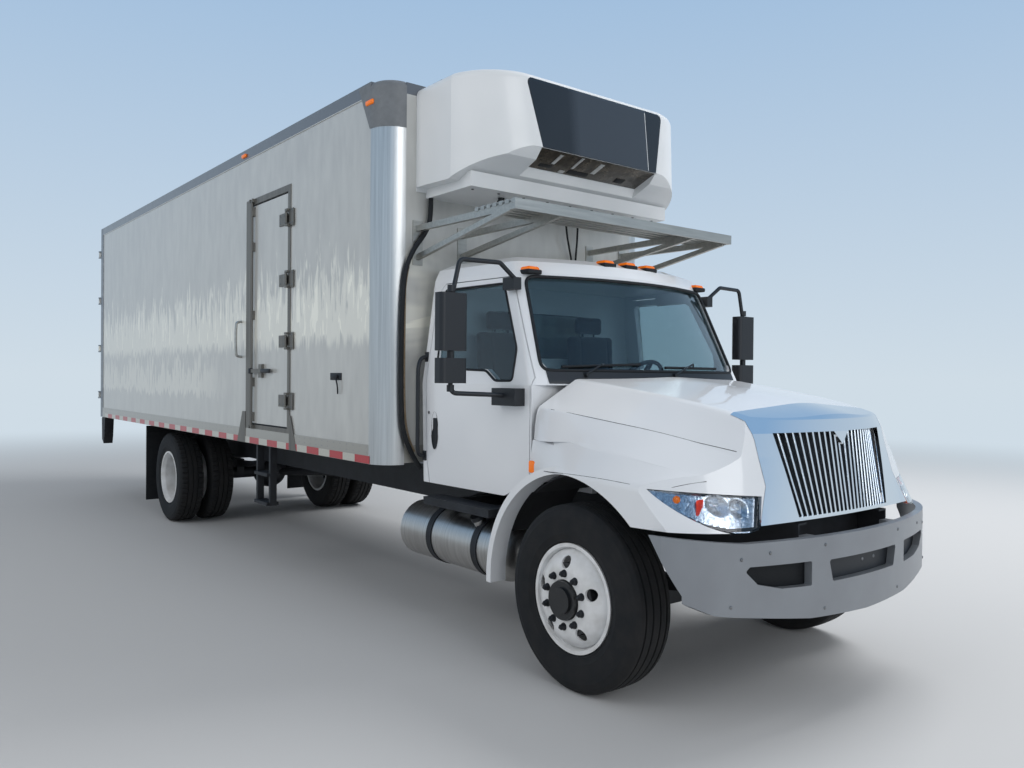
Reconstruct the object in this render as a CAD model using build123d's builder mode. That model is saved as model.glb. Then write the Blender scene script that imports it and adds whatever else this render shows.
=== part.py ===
from build123d import *
import os
from math import cos, radians, sin

# Refrigerated truck: conventional cab, two axles, insulated body with a nose-mounted cooling unit.
# Millimetres. X forward, Y to the driver's left, Z up from the ground.
# Stations along X are measured from the front axle, and save() carries each finished piece to the
# file's origin, which lies on the ground below the middle of the whole truck.
front_axle_x = 4380

# Driving dimensions
wheelbase = 6760
rear_axle_x = -wheelbase
tyre_radius = 510
tyre_width = 276
axle_z = tyre_radius
front_track = 1930          # between the middles of the front tyres
dual_middle = 925           # from the centre line to the middle of a pair of rear wheels
disc_offset = 159           # from a rim's middle to the far side of its disc
disc_thick = 12
dual_spacing = 2 * (disc_offset + disc_thick)

rail_top = 985
rail_depth = 254
rail_bottom = rail_top - rail_depth
rail_outer = 432
rail_flange = 76
rail_web = 10
rail_front = 960

bumper_nose = 1090

cab_rear = -1620
cab_front = -450
cab_sill = 980
cab_belt = 1660
cab_wall = 50

body_front = -1695
body_rear = -9720
body_half = 1295
body_bottom = 1088
body_top = 3760
body_wall = 75
rail_proud = 7              # how far the body's rails stand out from its sheets
sheet_y = body_half - rail_proud
floor_bottom = 1100
floor_top = 1220
corner_radius = 180

os.makedirs("parts", exist_ok=True)


def save(sub_part, label):
    """Labels a finished piece, carries it to the file's origin and writes it."""
    placed = sub_part.part.moved(Location((front_axle_x, 0, 0)))
    placed.label = label
    export_step(placed, f"parts/{label}.step")


def side_name(side):
    return "left" if side > 0 else "right"


def across(y):
    """Upright plane along the truck at the given Y; a positive extrusion from it runs to -Y."""
    return Plane.XZ.offset(-y)


# Ladder frame: two channel rails, open towards each other, and their crossmembers
rail_rear = body_rear + 60
crossmembers = [            # station, length along X, bottom, top
    (760, 70, 800, rail_top - rail_web),
    (-1330, 80, 850, 960),
    (-2700, 80, 840, 960),
    (-4200, 80, 840, 960),
    (-5700, 80, 840, 960),
    (-7500, 80, 780, 960),
    (-8250, 80, 780, 960),
    (rail_rear + 6, 12, rail_bottom + rail_web, rail_top - rail_web),
]
pintle_z = 860              # bolt rectangle of a pintle hook in the last crossmember
pintle_wide = 92.1
pintle_tall = 82.6
pintle_hole = 7
with BuildPart() as frame:
    with BuildSketch(Plane.YZ.offset(rail_rear)):
        for side in (-1, 1):
            with BuildLine():
                Polyline(
                    (side * (rail_outer - rail_flange), rail_bottom),
                    (side * rail_outer, rail_bottom),
                    (side * rail_outer, rail_top),
                    (side * (rail_outer - rail_flange), rail_top),
                    (side * (rail_outer - rail_flange), rail_top - rail_web),
                    (side * (rail_outer - rail_web), rail_top - rail_web),
                    (side * (rail_outer - rail_web), rail_bottom + rail_web),
                    (side * (rail_outer - rail_flange), rail_bottom + rail_web),
                    close=True,
                )
            make_face()
    extrude(amount=rail_front - rail_rear)
    for station, length, bottom, top in crossmembers:
        with Locations((station, 0, (bottom + top) / 2)):
            Box(length, 2 * rail_outer - rail_web, top - bottom)
    with BuildSketch(Plane.YZ.offset(rail_rear)):
        with Locations((0, pintle_z)):
            with GridLocations(pintle_wide, pintle_tall, 2, 2):
                Circle(pintle_hole)
    extrude(amount=12, mode=Mode.SUBTRACT)
save(frame, "frame")

# Tyres and disc wheels. A half section is turned about the wheel's axis, which lies along Y.
bead_radius = 284
flange_radius = 298
rim_half = 121
rim_inner = 264
bore_radius = 110
shoulder_radius = 158
hand_hole_radius = 33
hand_hole_circle = 203
hand_holes = 5
front_middle = front_track / 2


def wheel_axis(x):
    return Axis((x, 0, axle_z), (0, 1, 0))


def wheel_face(x, y):
    """Plane square to a wheel's axis; a positive extrusion from it runs to -Y."""
    return Plane((x, y, axle_z), x_dir=(1, 0, 0), z_dir=(0, -1, 0))


def tyre_section(x, middle):
    """Half section of a tyre of the axle at x, its middle at the given Y."""
    half = tyre_width / 2
    with BuildSketch(Plane((x, 0, axle_z))) as section:
        with BuildLine():
            Polyline((flange_radius + 2, middle + rim_half - 14), (bead_radius, middle + rim_half - 14),
                     (bead_radius, middle - rim_half + 14), (flange_radius + 2, middle - rim_half + 14))
            Line((flange_radius + 2, middle - rim_half + 14), (flange_radius + 8, middle - rim_half - 2))
            ThreePointArc(
                (flange_radius + 8, middle - rim_half - 2),
                (400, middle - half),
                (tyre_radius - 32, middle - half + 14),
            )
            Line((tyre_radius - 32, middle - half + 14), (tyre_radius - 5, middle - half + 30))
            ThreePointArc(
                (tyre_radius - 5, middle - half + 30),
                (tyre_radius, middle),
                (tyre_radius - 5, middle + half - 30),
            )
            Line((tyre_radius - 5, middle + half - 30), (tyre_radius - 32, middle + half - 14))
            ThreePointArc(
                (tyre_radius - 32, middle + half - 14),
                (400, middle + half),
                (flange_radius + 8, middle + rim_half + 2),
            )
            Line((flange_radius + 8, middle + rim_half + 2), (flange_radius + 2, middle + rim_half - 14))
        make_face()
    return section.sketch


def rim_section(x, middle, dish):
    """Half section of a disc wheel; its disc stands out from the rim's middle by the dish's sign."""
    face = middle + dish * disc_offset
    rim_joint = middle + dish * 66
    with BuildSketch(Plane((x, 0, axle_z))) as section:
        with BuildLine():
            Polyline(
                (rim_inner, middle - rim_half + 40),
                (rim_inner + 14, middle - rim_half),
                (flange_radius, middle - rim_half),
                (flange_radius, middle - rim_half + 12),
                (bead_radius - 0.3, middle - rim_half + 12),
                (bead_radius - 0.3, middle + rim_half - 12),
                (flange_radius, middle + rim_half - 12),
                (flange_radius, middle + rim_half),
                (rim_inner + 14, middle + rim_half),
                (rim_inner, middle + rim_half - 40),
                close=True,
            )
        make_face()
        with BuildLine():
            Polyline((bore_radius, face), (bore_radius, face + dish * disc_thick),
                     (shoulder_radius, face + dish * disc_thick))
            ThreePointArc(
                (shoulder_radius, face + dish * disc_thick),
                (229, middle + dish * 144),
                (rim_inner + 6, rim_joint + dish * 14),
            )
            Line((rim_inner + 6, rim_joint + dish * 14), (rim_inner + 6, rim_joint))
            ThreePointArc((rim_inner + 6, rim_joint), (220, middle + dish * 134), (shoulder_radius, face))
            Line((shoulder_radius, face), (bore_radius, face))
        make_face()
    return section.sketch


hub_radius = 104
drum_radius = 198
drum_wall = 18
front_hub_face = front_middle + disc_offset
front_hub = [               # radius, inner and outer distance from the centre line
    (hub_radius, 1012, 1158),
    (72, 1158, 1172),
    (shoulder_radius, front_hub_face - 16, front_hub_face),
]
rear_hub = [
    (hub_radius, 818, 1075),
    (78, 1075, 1092),
    (drum_radius, dual_middle - disc_thick - 22, dual_middle - disc_thick),
]


def add_hub(x, side, discs):
    """Stacks a hub's round steps along the wheel's axis."""
    for radius, inner, outer in discs:
        with BuildSketch(wheel_face(x, side * inner)) as disc:
            Circle(radius)
        extrude(disc.sketch, amount=-side * (outer - inner))


def add_drum(x, side, inner, outer):
    """Brake drum, open towards the middle of the truck."""
    with BuildSketch(wheel_face(x, side * inner)) as ring:
        Circle(drum_radius)
        Circle(drum_radius - drum_wall, mode=Mode.SUBTRACT)
    extrude(ring.sketch, amount=-side * (outer - inner))


def cut_hand_holes(x, side, start, depth):
    """Round holes through a wheel's disc, cut outwards from the given distance."""
    with BuildSketch(wheel_face(x, side * start)) as holes:
        with PolarLocations(hand_hole_circle, hand_holes, start_angle=90):
            Circle(hand_hole_radius)
    extrude(holes.sketch, amount=-side * depth, mode=Mode.SUBTRACT)


for side in (-1, 1):
    with BuildPart() as tyre_front:
        add(tyre_section(0, side * front_middle))
        revolve(axis=wheel_axis(0))
    save(tyre_front, f"tyre_front_{side_name(side)}")

    with BuildPart() as rim_front:
        add(rim_section(0, side * front_middle, side))
        revolve(axis=wheel_axis(0))
        cut_hand_holes(0, side, front_middle + 70, 130)
        add_hub(0, side, front_hub)
        add_drum(0, side, 962, front_hub_face - 12)
        with BuildSketch(wheel_face(0, side * (front_hub_face - 16))):
            Circle(drum_radius)
            Circle(shoulder_radius - 10, mode=Mode.SUBTRACT)
        extrude(amount=-side * 10)
    save(rim_front, f"rim_front_{side_name(side)}")

    outer_middle = dual_middle + dual_spacing / 2
    inner_middle = dual_middle - dual_spacing / 2
    with BuildPart() as tyres_rear:
        add(tyre_section(rear_axle_x, side * outer_middle))
        add(tyre_section(rear_axle_x, side * inner_middle))
        revolve(axis=wheel_axis(rear_axle_x))
    save(tyres_rear, f"tyres_rear_{side_name(side)}")

    with BuildPart() as rims_rear:
        add(rim_section(rear_axle_x, side * outer_middle, -side))
        add(rim_section(rear_axle_x, side * inner_middle, side))
        revolve(axis=wheel_axis(rear_axle_x))
        cut_hand_holes(rear_axle_x, side, dual_middle - 70, 200)
        add_hub(rear_axle_x, side, rear_hub)
        add_drum(rear_axle_x, side, 795, dual_middle - disc_thick - 4)
    save(rims_rear, f"rims_rear_{side_name(side)}")

# Steering knuckles: each turns on its kingpin and carries a wheel on its spindle
kingpin_y = 880
kingpin_radius = 22
pin_clearance = 0.05
knuckle_half = 38
knuckle_inner = kingpin_y - 32
knuckle_outer = 950
beam_end_height = 62
fork_z = beam_end_height / 2 + 1    # from the axle to the fork's arms
steer_arm_x = -170
steer_arm_z = axle_z - 82
ball_radius = 24
for side in (-1, 1):
    with BuildPart() as knuckle:
        with BuildSketch(Plane.YZ.offset(-knuckle_half)):
            with BuildLine():
                Polyline(
                    (side * knuckle_inner, axle_z - 100),
                    (side * knuckle_outer, axle_z - 100),
                    (side * knuckle_outer, axle_z + 100),
                    (side * knuckle_inner, axle_z + 100),
                    (side * knuckle_inner, axle_z + fork_z),
                    (side * (knuckle_outer - 24), axle_z + fork_z),
                    (side * (knuckle_outer - 24), axle_z - fork_z),
                    (side * knuckle_inner, axle_z - fork_z),
                    close=True,
                )
            make_face()
        extrude(amount=2 * knuckle_half)
        with BuildSketch(wheel_face(0, side * knuckle_outer)):
            Circle(40)
        extrude(amount=-side * 56)
        with BuildSketch(Plane.XY.offset(steer_arm_z)):
            with BuildLine():
                Polyline(
                    (0, side * (kingpin_y - 30)),
                    (0, side * (kingpin_y + 30)),
                    (steer_arm_x - 26, side * (kingpin_y + 20)),
                    (steer_arm_x - 26, side * (kingpin_y - 20)),
                    close=True,
                )
            make_face()
        extrude(amount=24)
        with BuildSketch(Plane.XY.offset(axle_z - 150)):
            with Locations((0, side * kingpin_y)):
                Circle(kingpin_radius + pin_clearance)
        extrude(amount=300, mode=Mode.SUBTRACT)
    save(knuckle, f"knuckle_{side_name(side)}")

# Tie rod between the two steering arms
tie_rod_z = steer_arm_z - ball_radius - 1
with BuildPart() as tie_rod:
    with BuildSketch(Plane((steer_arm_x, -kingpin_y, tie_rod_z), x_dir=(1, 0, 0), z_dir=(0, 1, 0))):
        Circle(16)
    extrude(amount=2 * kingpin_y)
    with Locations(*[(steer_arm_x, side * kingpin_y, tie_rod_z) for side in (-1, 1)]):
        Sphere(ball_radius)
save(tie_rod, "tie_rod")

# Suspension: a dropped front beam with its kingpins, a drive axle with its differential bowl, and
# leaf springs under the rails
spring_y = 394
spring_width = 72
beam_z = axle_z - 95
beam_low_half = 600
beam_neck = 60
front_spring_half = 680
rear_spring_half = 760
bowl_radius = 200
with BuildPart() as suspension:
    with Locations((0, 0, beam_z)):
        Box(110, 2 * beam_low_half, 88)
    for side in (-1, 1):
        with BuildSketch(across(side * beam_low_half)):
            with Locations((0, beam_z)):
                Rectangle(110, 88)
        with BuildSketch(across(side * (kingpin_y - beam_neck))):
            with Locations((0, axle_z)):
                Rectangle(76, beam_end_height)
        loft()
        with Locations((0, side * (kingpin_y - beam_neck / 2), axle_z)):
            Box(76, beam_neck, beam_end_height)
        with Locations((0, side * kingpin_y, axle_z)):
            Cylinder(38, beam_end_height)
            Cylinder(kingpin_radius, 230)
        with BuildSketch(across(side * spring_y - spring_width / 2)):
            with BuildLine():
                ThreePointArc(
                    (-front_spring_half, rail_bottom - 30),
                    (0, 475),
                    (front_spring_half, rail_bottom - 30),
                )
                Line((front_spring_half, rail_bottom - 30), (front_spring_half, rail_bottom))
                ThreePointArc(
                    (front_spring_half, rail_bottom), (0, 545), (-front_spring_half, rail_bottom)
                )
                Line((-front_spring_half, rail_bottom), (-front_spring_half, rail_bottom - 30))
            make_face()
        extrude(amount=-spring_width)
        with Locations((0, side * spring_y, (beam_z + 560) / 2)):
            Box(150, spring_width + 16, 560 - beam_z)
    with BuildSketch(wheel_face(rear_axle_x, 810)):
        Circle(66)
    extrude(amount=1620)
    with Locations((rear_axle_x, 0, axle_z)):
        Sphere(bowl_radius)
    with BuildSketch(Plane.YZ.offset(rear_axle_x + 100)):
        with Locations((0, axle_z + 20)):
            Circle(95)
    extrude(amount=290, taper=8)
    for side in (-1, 1):
        with BuildSketch(across(side * spring_y - spring_width / 2)):
            with BuildLine():
                ThreePointArc(
                    (rear_axle_x - rear_spring_half, rail_bottom - 30),
                    (rear_axle_x, 590),
                    (rear_axle_x + rear_spring_half, rail_bottom - 30),
                )
                Line(
                    (rear_axle_x + rear_spring_half, rail_bottom - 30),
                    (rear_axle_x + rear_spring_half, rail_bottom),
                )
                ThreePointArc(
                    (rear_axle_x + rear_spring_half, rail_bottom),
                    (rear_axle_x, 665),
                    (rear_axle_x - rear_spring_half, rail_bottom),
                )
                Line(
                    (rear_axle_x - rear_spring_half, rail_bottom),
                    (rear_axle_x - rear_spring_half, rail_bottom - 30),
                )
            make_face()
        extrude(amount=-spring_width)
        with Locations((rear_axle_x, side * spring_y, (axle_z + 680) / 2)):
            Box(150, spring_width + 16, 680 - axle_z)
save(suspension, "suspension")

# Engine with its gearbox and the two-piece drive shaft to the rear axle
engine_rear = -400
engine_front = 540
engine_half = 280
engine_mounts = (-250, 350)
gearbox_rear = -1180
shaft_z = 740
shaft_bearing = -4120
shaft_radius = 42
pinion_x = rear_axle_x + 390.5
with BuildPart() as engine:
    with Locations(((engine_rear + engine_front) / 2, 0, 1000)):
        Box(engine_front - engine_rear, 2 * engine_half, 780)
    with BuildSketch(Plane.YZ.offset(engine_rear)):
        with Locations((0, 760)):
            Circle(205)
    with BuildSketch(Plane.YZ.offset(gearbox_rear)):
        with Locations((0, shaft_z)):
            Circle(110)
    loft()
    for x in engine_mounts:
        with Locations((x, 0, 820)):
            Box(90, 2 * (rail_outer - rail_web), 60)
    with BuildSketch(Plane.YZ.offset(gearbox_rear)):
        with Locations((0, shaft_z)):
            Circle(shaft_radius)
    extrude(amount=shaft_bearing - gearbox_rear)
    with Locations((shaft_bearing, 0, (shaft_z - 70 + 840) / 2)):
        Box(80, 140, 840 - shaft_z + 70)
    with BuildSketch(Plane.YZ.offset(shaft_bearing)):
        with Locations((0, shaft_z)):
            Circle(shaft_radius)
    with BuildSketch(Plane.YZ.offset(pinion_x)):
        with Locations((0, axle_z + 20)):
            Circle(shaft_radius)
    loft()
save(engine, "engine")

# Radiator pack with its fan shroud, standing on the rails behind the grille
radiator_x = 650
radiator_top = 1440
with BuildPart() as radiator:
    with Locations((radiator_x, 0, (rail_top + radiator_top) / 2)):
        Box(110, 2 * rail_outer, radiator_top - rail_top)
    with Locations((radiator_x + 70, 0, 1210)):
        Box(30, 760, 400)
    with BuildSketch(Plane.YZ.offset(radiator_x - 90)):
        with Locations((0, 1200)):
            Circle(200)
    extrude(amount=36)
save(radiator, "radiator")

# Exhaust: pipe from the engine over the left rail, the after-treatment can and its tail pipe
can_y = 590
can_z = 830
can_radius = 150
can_front = -1900
can_rear = -2800
pipe_radius = 38
exhaust_route = [           # x, y, z
    (-330, engine_half, 1045),
    (-330, 482, 1045),
    (-330, 482, can_z),
    (-800, 482, can_z),
    (can_front - 10, can_y, can_z),
]
with BuildPart() as exhaust:
    with BuildSketch(Plane.YZ.offset(can_rear)):
        with Locations((can_y, can_z)):
            Circle(can_radius)
    extrude(amount=can_front - can_rear)
    with BuildLine() as exhaust_line:
        FilletPolyline(*exhaust_route, radius=[60, 60, 300])
    with BuildSketch(Plane(exhaust_line.line @ 0, z_dir=exhaust_line.line % 0)):
        Circle(pipe_radius)
    sweep(path=exhaust_line.line)
    with BuildSketch(Plane.YZ.offset(can_rear)):
        with Locations((can_y, can_z)):
            Circle(62)
    extrude(amount=-1300)
    for x in (can_rear + 450, can_rear - 800):
        with Locations((x, (rail_outer + can_y) / 2, can_z)):
            Box(60, can_y - rail_outer, 40)
save(exhaust, "exhaust")

# Fuel tank on the right, under the cab, and the black steel that carries it
tank_y = -850
tank_z = 612
tank_radius = 196
tank_front = -780
tank_rear = -1850
tank_dome = 95
tank_flat = 12              # radius of the flat in the middle of each dome
strap_width = 58
strap_thick = 6
strap_stations = (-960, -1480)
with BuildPart() as fuel_tank:
    with BuildSketch(Plane((0, tank_y, tank_z), x_dir=(1, 0, 0), z_dir=(0, -1, 0))):
        with BuildLine():
            Polyline(
                (tank_rear - tank_dome, tank_flat),
                (tank_rear - tank_dome, 0),
                (tank_front + tank_dome, 0),
                (tank_front + tank_dome, tank_flat),
            )
            ThreePointArc(
                (tank_front + tank_dome, tank_flat),
                (tank_front + 0.72 * tank_dome, 0.62 * tank_radius),
                (tank_front, tank_radius),
            )
            Line((tank_front, tank_radius), (tank_rear, tank_radius))
            ThreePointArc(
                (tank_rear, tank_radius),
                (tank_rear - 0.72 * tank_dome, 0.62 * tank_radius),
                (tank_rear - tank_dome, tank_flat),
            )
        make_face()
    revolve(axis=Axis((0, tank_y, tank_z), (1, 0, 0)))
save(fuel_tank, "fuel_tank")

step_top = 898
step_rear = -1450
step_front = -720
with BuildPart() as tank_mounts:
    for station in strap_stations:
        with BuildSketch(Plane.YZ.offset(station - strap_width / 2)):
            with Locations((tank_y, tank_z)):
                Circle(tank_radius + strap_thick)
            with BuildLine():
                Polyline(
                    (-rail_outer, 900),
                    (-rail_outer, 400),
                    (-rail_outer - 60, 400),
                    (tank_y, tank_z - tank_radius - strap_thick),
                    (tank_y, tank_z + tank_radius + strap_thick),
                    (-rail_outer - 60, 900),
                    close=True,
                )
            make_face()
            with Locations((tank_y, tank_z)):
                Circle(tank_radius + 0.3, mode=Mode.SUBTRACT)
        extrude(amount=strap_width)
    for station in (step_front - 90, strap_stations[0], step_rear + 60):
        with Locations((station, (-rail_outer - 1010) / 2, step_top - 45)):
            Box(50, 1010 - rail_outer, 40)
    with Locations(((step_front + step_rear) / 2, -1030, step_top - 25)):
        Box(step_front - step_rear, 160, 50)
save(tank_mounts, "tank_mounts")

# Battery box on the left, under the cab, with a step in its face
battery_front = -800
battery_rear = -1560
battery_inner = 640
battery_outer = 1060
with BuildPart() as battery_box:
    with BuildSketch(Plane.YZ.offset(battery_rear)):
        with BuildLine():
            Polyline(
                (battery_inner, 520),
                (battery_outer, 520),
                (battery_outer, 650),
                (battery_outer - 120, 660),
                (battery_outer - 120, 690),
                (battery_outer, 700),
                (battery_outer, 885),
                (battery_outer - 50, 900),
                (battery_inner, 900),
                close=True,
            )
        make_face()
    extrude(amount=battery_front - battery_rear)
    for x in (battery_front - 60, battery_rear + 60):
        with Locations((x, (rail_outer + battery_inner) / 2, 745)):
            Box(50, battery_inner - rail_outer, 28)
save(battery_box, "battery_box")

# Cab. Its lower box runs from the sill to the belt, and above it the glasshouse leans inwards,
# with a front bowed forward in the middle.
glass_levels = [            # height, half width at front and rear, stations of rear, corner, nose
    (cab_belt, 1000, 1045, cab_rear, -455, -270),
    (2370, 885, 955, cab_rear + 8, -757, -545),
]
roof_levels = [
    (2370, 885, 955, cab_rear + 8, -757, -545),
    (2440, 862, 932, cab_rear + 28, -795, -595),
    (2480, 790, 860, cab_rear + 90, -880, -700),
]
lower_levels = [            # height, half width at front and rear, stations of rear, front
    (cab_sill, 1000, 1030, cab_rear, cab_front),
    (cab_belt, 1000, 1045, cab_rear, cab_front),
]
pillar_round = 60
floor_thick = 70


def glass_plan(level, inset, reach):
    """Plan of the glasshouse at one level, its sides drawn in by the inset, its ends out by the reach."""
    height, half_front, half_rear, rear, corner, nose = level
    with BuildSketch(Plane.XY.offset(height)) as plan:
        with BuildLine():
            Polyline(
                (corner + reach, half_front - inset),
                (rear - reach, half_rear - inset),
                (rear - reach, inset - half_rear),
                (corner + reach, inset - half_front),
            )
            ThreePointArc(
                (corner + reach, inset - half_front), (nose + reach, 0), (corner + reach, half_front - inset)
            )
        make_face()
        fillet(plan.vertices(), max(pillar_round - inset, 8))
    return plan.sketch


def lower_plan(level, inset, reach, lift):
    """Plan of the lower cab at one level, lifted above it, with the same inset and reach."""
    height, half_front, half_rear, rear, front = level
    with BuildSketch(Plane.XY.offset(height + lift)) as plan:
        with BuildLine():
            Polyline(
                (front + reach, half_front - inset),
                (rear - reach, half_rear - inset),
                (rear - reach, inset - half_rear),
                (front + reach, inset - half_front),
                close=True,
            )
        make_face()
        fillet(plan.vertices().group_by(Axis.X)[0], max(pillar_round - inset, 8))
    return plan.sketch


def fill_cab(inset, reach, lift):
    """The cab below its roof as a solid; lift raises its underside."""
    add(lower_plan(lower_levels[0], inset, reach, lift))
    add(lower_plan(lower_levels[1], inset, reach, 0))
    loft()
    for level in glass_levels:
        add(glass_plan(level, inset, reach))
    loft()


with BuildPart() as cab_outer:
    fill_cab(0, 0, 0)
    for low, high in zip(roof_levels[:-1], roof_levels[1:]):
        add(glass_plan(low, 0, 0))
        add(glass_plan(high, 0, 0))
        loft()
with BuildPart() as cab_inner:
    fill_cab(cab_wall, -cab_wall, floor_thick)
with BuildPart() as door_inner:
    fill_cab(cab_wall, 60, -20)

arch_radius = 670
arch_z = 515
flare_width = 42
arch_gap = 20               # between the fender's flare and the cab
door_front = -468
door_foot = -700            # where its sill begins
door_hip = 1085             # height at which its front edge begins
door_rear = -1530
door_gap = 6
door_top = 2335
doorway_lip = 60            # how far the opening behind a door is smaller than the door, all round


def door_outline(y, grow):
    """Side outline of a cab door, grown by the gap round it; its foot slopes to clear the fender."""
    front = door_front + grow
    sill = cab_sill - 2 * grow
    with BuildSketch(across(y)) as outline:
        with BuildLine():
            Polyline(
                (door_foot + grow, sill),
                (front, door_hip - grow),
                (front, 1705),
                (-762 + grow, door_top - 20 + grow),
                (-800 + grow, door_top + grow),
                (-1440, door_top + grow),
                (door_rear + 20 - grow, door_top - 70),
                (door_rear - grow, 1700),
                (door_rear - grow, 1150),
                (door_rear + 30 - grow, sill),
                close=True,
            )
        make_face()
    return outline.sketch


def window_outline(y):
    """Side outline of a door's window, which dips at its front."""
    with BuildSketch(across(y)) as outline:
        with BuildLine():
            FilletPolyline(
                (-845, 2290),
                (-690, 1975),
                (-640, 1880),
                (-640, 1690),
                (-800, 1690),
                (-900, 1755),
                (-1420, 1765),
                (-1425, 2290),
                close=True,
                radius=25,
            )
        make_face()
    return outline.sketch


def windscreen_outline():
    with BuildSketch(Plane.YZ.offset(cab_rear + 700)) as outline:
        with BuildLine():
            FilletPolyline(
                (-905, 1752), (905, 1752), (832, 2335), (-832, 2335), close=True, radius=60
            )
        make_face()
    return outline.sketch


def rear_window_outline():
    with BuildSketch(Plane.YZ.offset(cab_rear - 50)) as outline:
        with Locations((0, 2020)):
            RectangleRounded(900, 340, 60)
    return outline.sketch


rear_foot = 200             # the cab's lower rear corner is cut away up the side by this much
tunnel_half = 460
with BuildPart() as door_recesses:
    for side in (-1, 1):
        extrude(door_outline(side * 780, door_gap), amount=-side * 400)
    add(door_inner.part, mode=Mode.SUBTRACT)
with BuildPart() as hinge_reliefs:
    for side in (-1, 1):
        extrude(door_outline(side * 932, door_gap), amount=-side * 80)
    with Locations((door_front - 588, 0, 1650)):
        Box(1000, 2200, 1500, mode=Mode.SUBTRACT)
with BuildPart() as cab_shell:
    add(cab_outer.part)
    add(cab_inner.part, mode=Mode.SUBTRACT)
    add(door_recesses.part, mode=Mode.SUBTRACT)
    add(hinge_reliefs.part, mode=Mode.SUBTRACT)
    for side in (-1, 1):
        with BuildSketch(across(side * 500)):
            with Locations((0, arch_z)):
                Circle(arch_radius + flare_width + arch_gap)
        extrude(amount=-side * 600, mode=Mode.SUBTRACT)
        extrude(door_outline(side * 800, -doorway_lip), amount=-side * 300, mode=Mode.SUBTRACT)
    extrude(windscreen_outline(), amount=900, mode=Mode.SUBTRACT)
    extrude(rear_window_outline(), amount=200, mode=Mode.SUBTRACT)
    with BuildSketch(across(1100)):
        with BuildLine():
            Polyline(
                (cab_rear - 10, cab_sill - 10),
                (cab_rear + 45, cab_sill - 10),
                (cab_rear - 10, cab_sill + rear_foot),
                close=True,
            )
        make_face()
    extrude(amount=2200, mode=Mode.SUBTRACT)
    with Locations(((cab_rear + cab_front) / 2, 0, cab_sill)):
        Box(cab_front - cab_rear + 20, 2 * tunnel_half, 16, mode=Mode.SUBTRACT)
save(cab_shell, "cab_shell")

# Glass of the windscreen and the rear window, set just inside the shell's outer face
with BuildPart() as pane_outer:
    for level in glass_levels:
        add(glass_plan(level, 14, -14))
    loft()
with BuildPart() as pane_inner:
    for level in glass_levels:
        add(glass_plan(level, 20, -20))
    loft()
with BuildPart() as cab_glass:
    extrude(windscreen_outline(), amount=900)
    extrude(rear_window_outline(), amount=200)
    add(pane_outer.part, mode=Mode.INTERSECT)
    add(pane_inner.part, mode=Mode.SUBTRACT)
save(cab_glass, "cab_glass")

# Cab doors with their panes and mirrors
mirror_x = -720
mirror_y = 1395
mirror_bar = 14
mirror_heads = [            # bottom, top, width, depth
    (1858, 2195, 190, 90),
    (1668, 1815, 185, 95),
]
for side in (-1, 1):
    with BuildPart() as cab_door:
        extrude(door_outline(side * 780, 0), amount=-side * 400)
        add(cab_outer.part, mode=Mode.INTERSECT)
        add(door_inner.part, mode=Mode.SUBTRACT)
        extrude(window_outline(side * 700), amount=-side * 500, mode=Mode.SUBTRACT)
    save(cab_door, f"cab_door_{side_name(side)}")

    with BuildPart() as door_glass:
        extrude(window_outline(side * 700), amount=-side * 500)
        add(pane_outer.part, mode=Mode.INTERSECT)
        add(pane_inner.part, mode=Mode.SUBTRACT)
    save(door_glass, f"door_glass_{side_name(side)}")

    upper_arm = [
        (-700, side * 905, 2290),
        (-690, side * 1060, 2400),
        (mirror_x, side * (mirror_y - 60), 2400),
        (mirror_x, side * mirror_y, 2150),
    ]
    lower_arm = [
        (-620, side * 990, 1590),
        (-640, side * 1130, 1600),
        (mirror_x, side * mirror_y, 1610),
        (mirror_x, side * mirror_y, 1700),
    ]
    with BuildPart() as mirror:
        for bottom, top, width, depth in mirror_heads:
            with Locations((mirror_x, side * mirror_y, (bottom + top) / 2)):
                Box(depth, width, top - bottom)
        fillet(mirror.edges().filter_by(Axis.Z), 28)
        with Locations((mirror_x, side * mirror_y, (mirror_heads[1][1] + mirror_heads[0][0]) / 2)):
            Cylinder(mirror_bar, mirror_heads[0][0] - mirror_heads[1][1] + 20)
        for route in (upper_arm, lower_arm):
            with BuildLine() as arm_line:
                FilletPolyline(*route, radius=40)
            with BuildSketch(Plane(arm_line.line @ 0, z_dir=arm_line.line % 0)):
                Circle(mirror_bar)
            sweep(path=arm_line.line)
        with Locations((-625, side * 1035, 1587)):
            Box(225, 90, 105)
        with Locations((-735, side * 930, 2285)):
            Box(110, 60, 75)
        add(cab_outer.part, mode=Mode.SUBTRACT)
        with Locations((-1000, side * 700, 2000)):
            Box(1000, 400, 1000, mode=Mode.SUBTRACT)
    save(mirror, f"mirror_{side_name(side)}")

# Dashboard with the steering column and wheel on the driver's side
driver_y = 430
dash_half = 900
wheel_tilt = (-0.82, 0, 0.57)
with BuildPart() as dashboard:
    with BuildSketch(across(-dash_half)):
        with BuildLine():
            Polyline(
                (cab_front - cab_wall, 1250),
                (cab_front - cab_wall, 1690),
                (-640, 1690),
                (-790, 1640),
                (-820, 1500),
                (-700, 1300),
                close=True,
            )
        make_face()
    extrude(amount=-2 * dash_half)
    with BuildSketch(Plane((-780, driver_y, 1540), z_dir=wheel_tilt)):
        Circle(34)
    extrude(amount=190)
    with Locations(Plane((-936, driver_y, 1648), z_dir=wheel_tilt)):
        Torus(215, 15)
        Box(420, 44, 16)
        Cylinder(60, 34)
save(dashboard, "dashboard")

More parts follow.
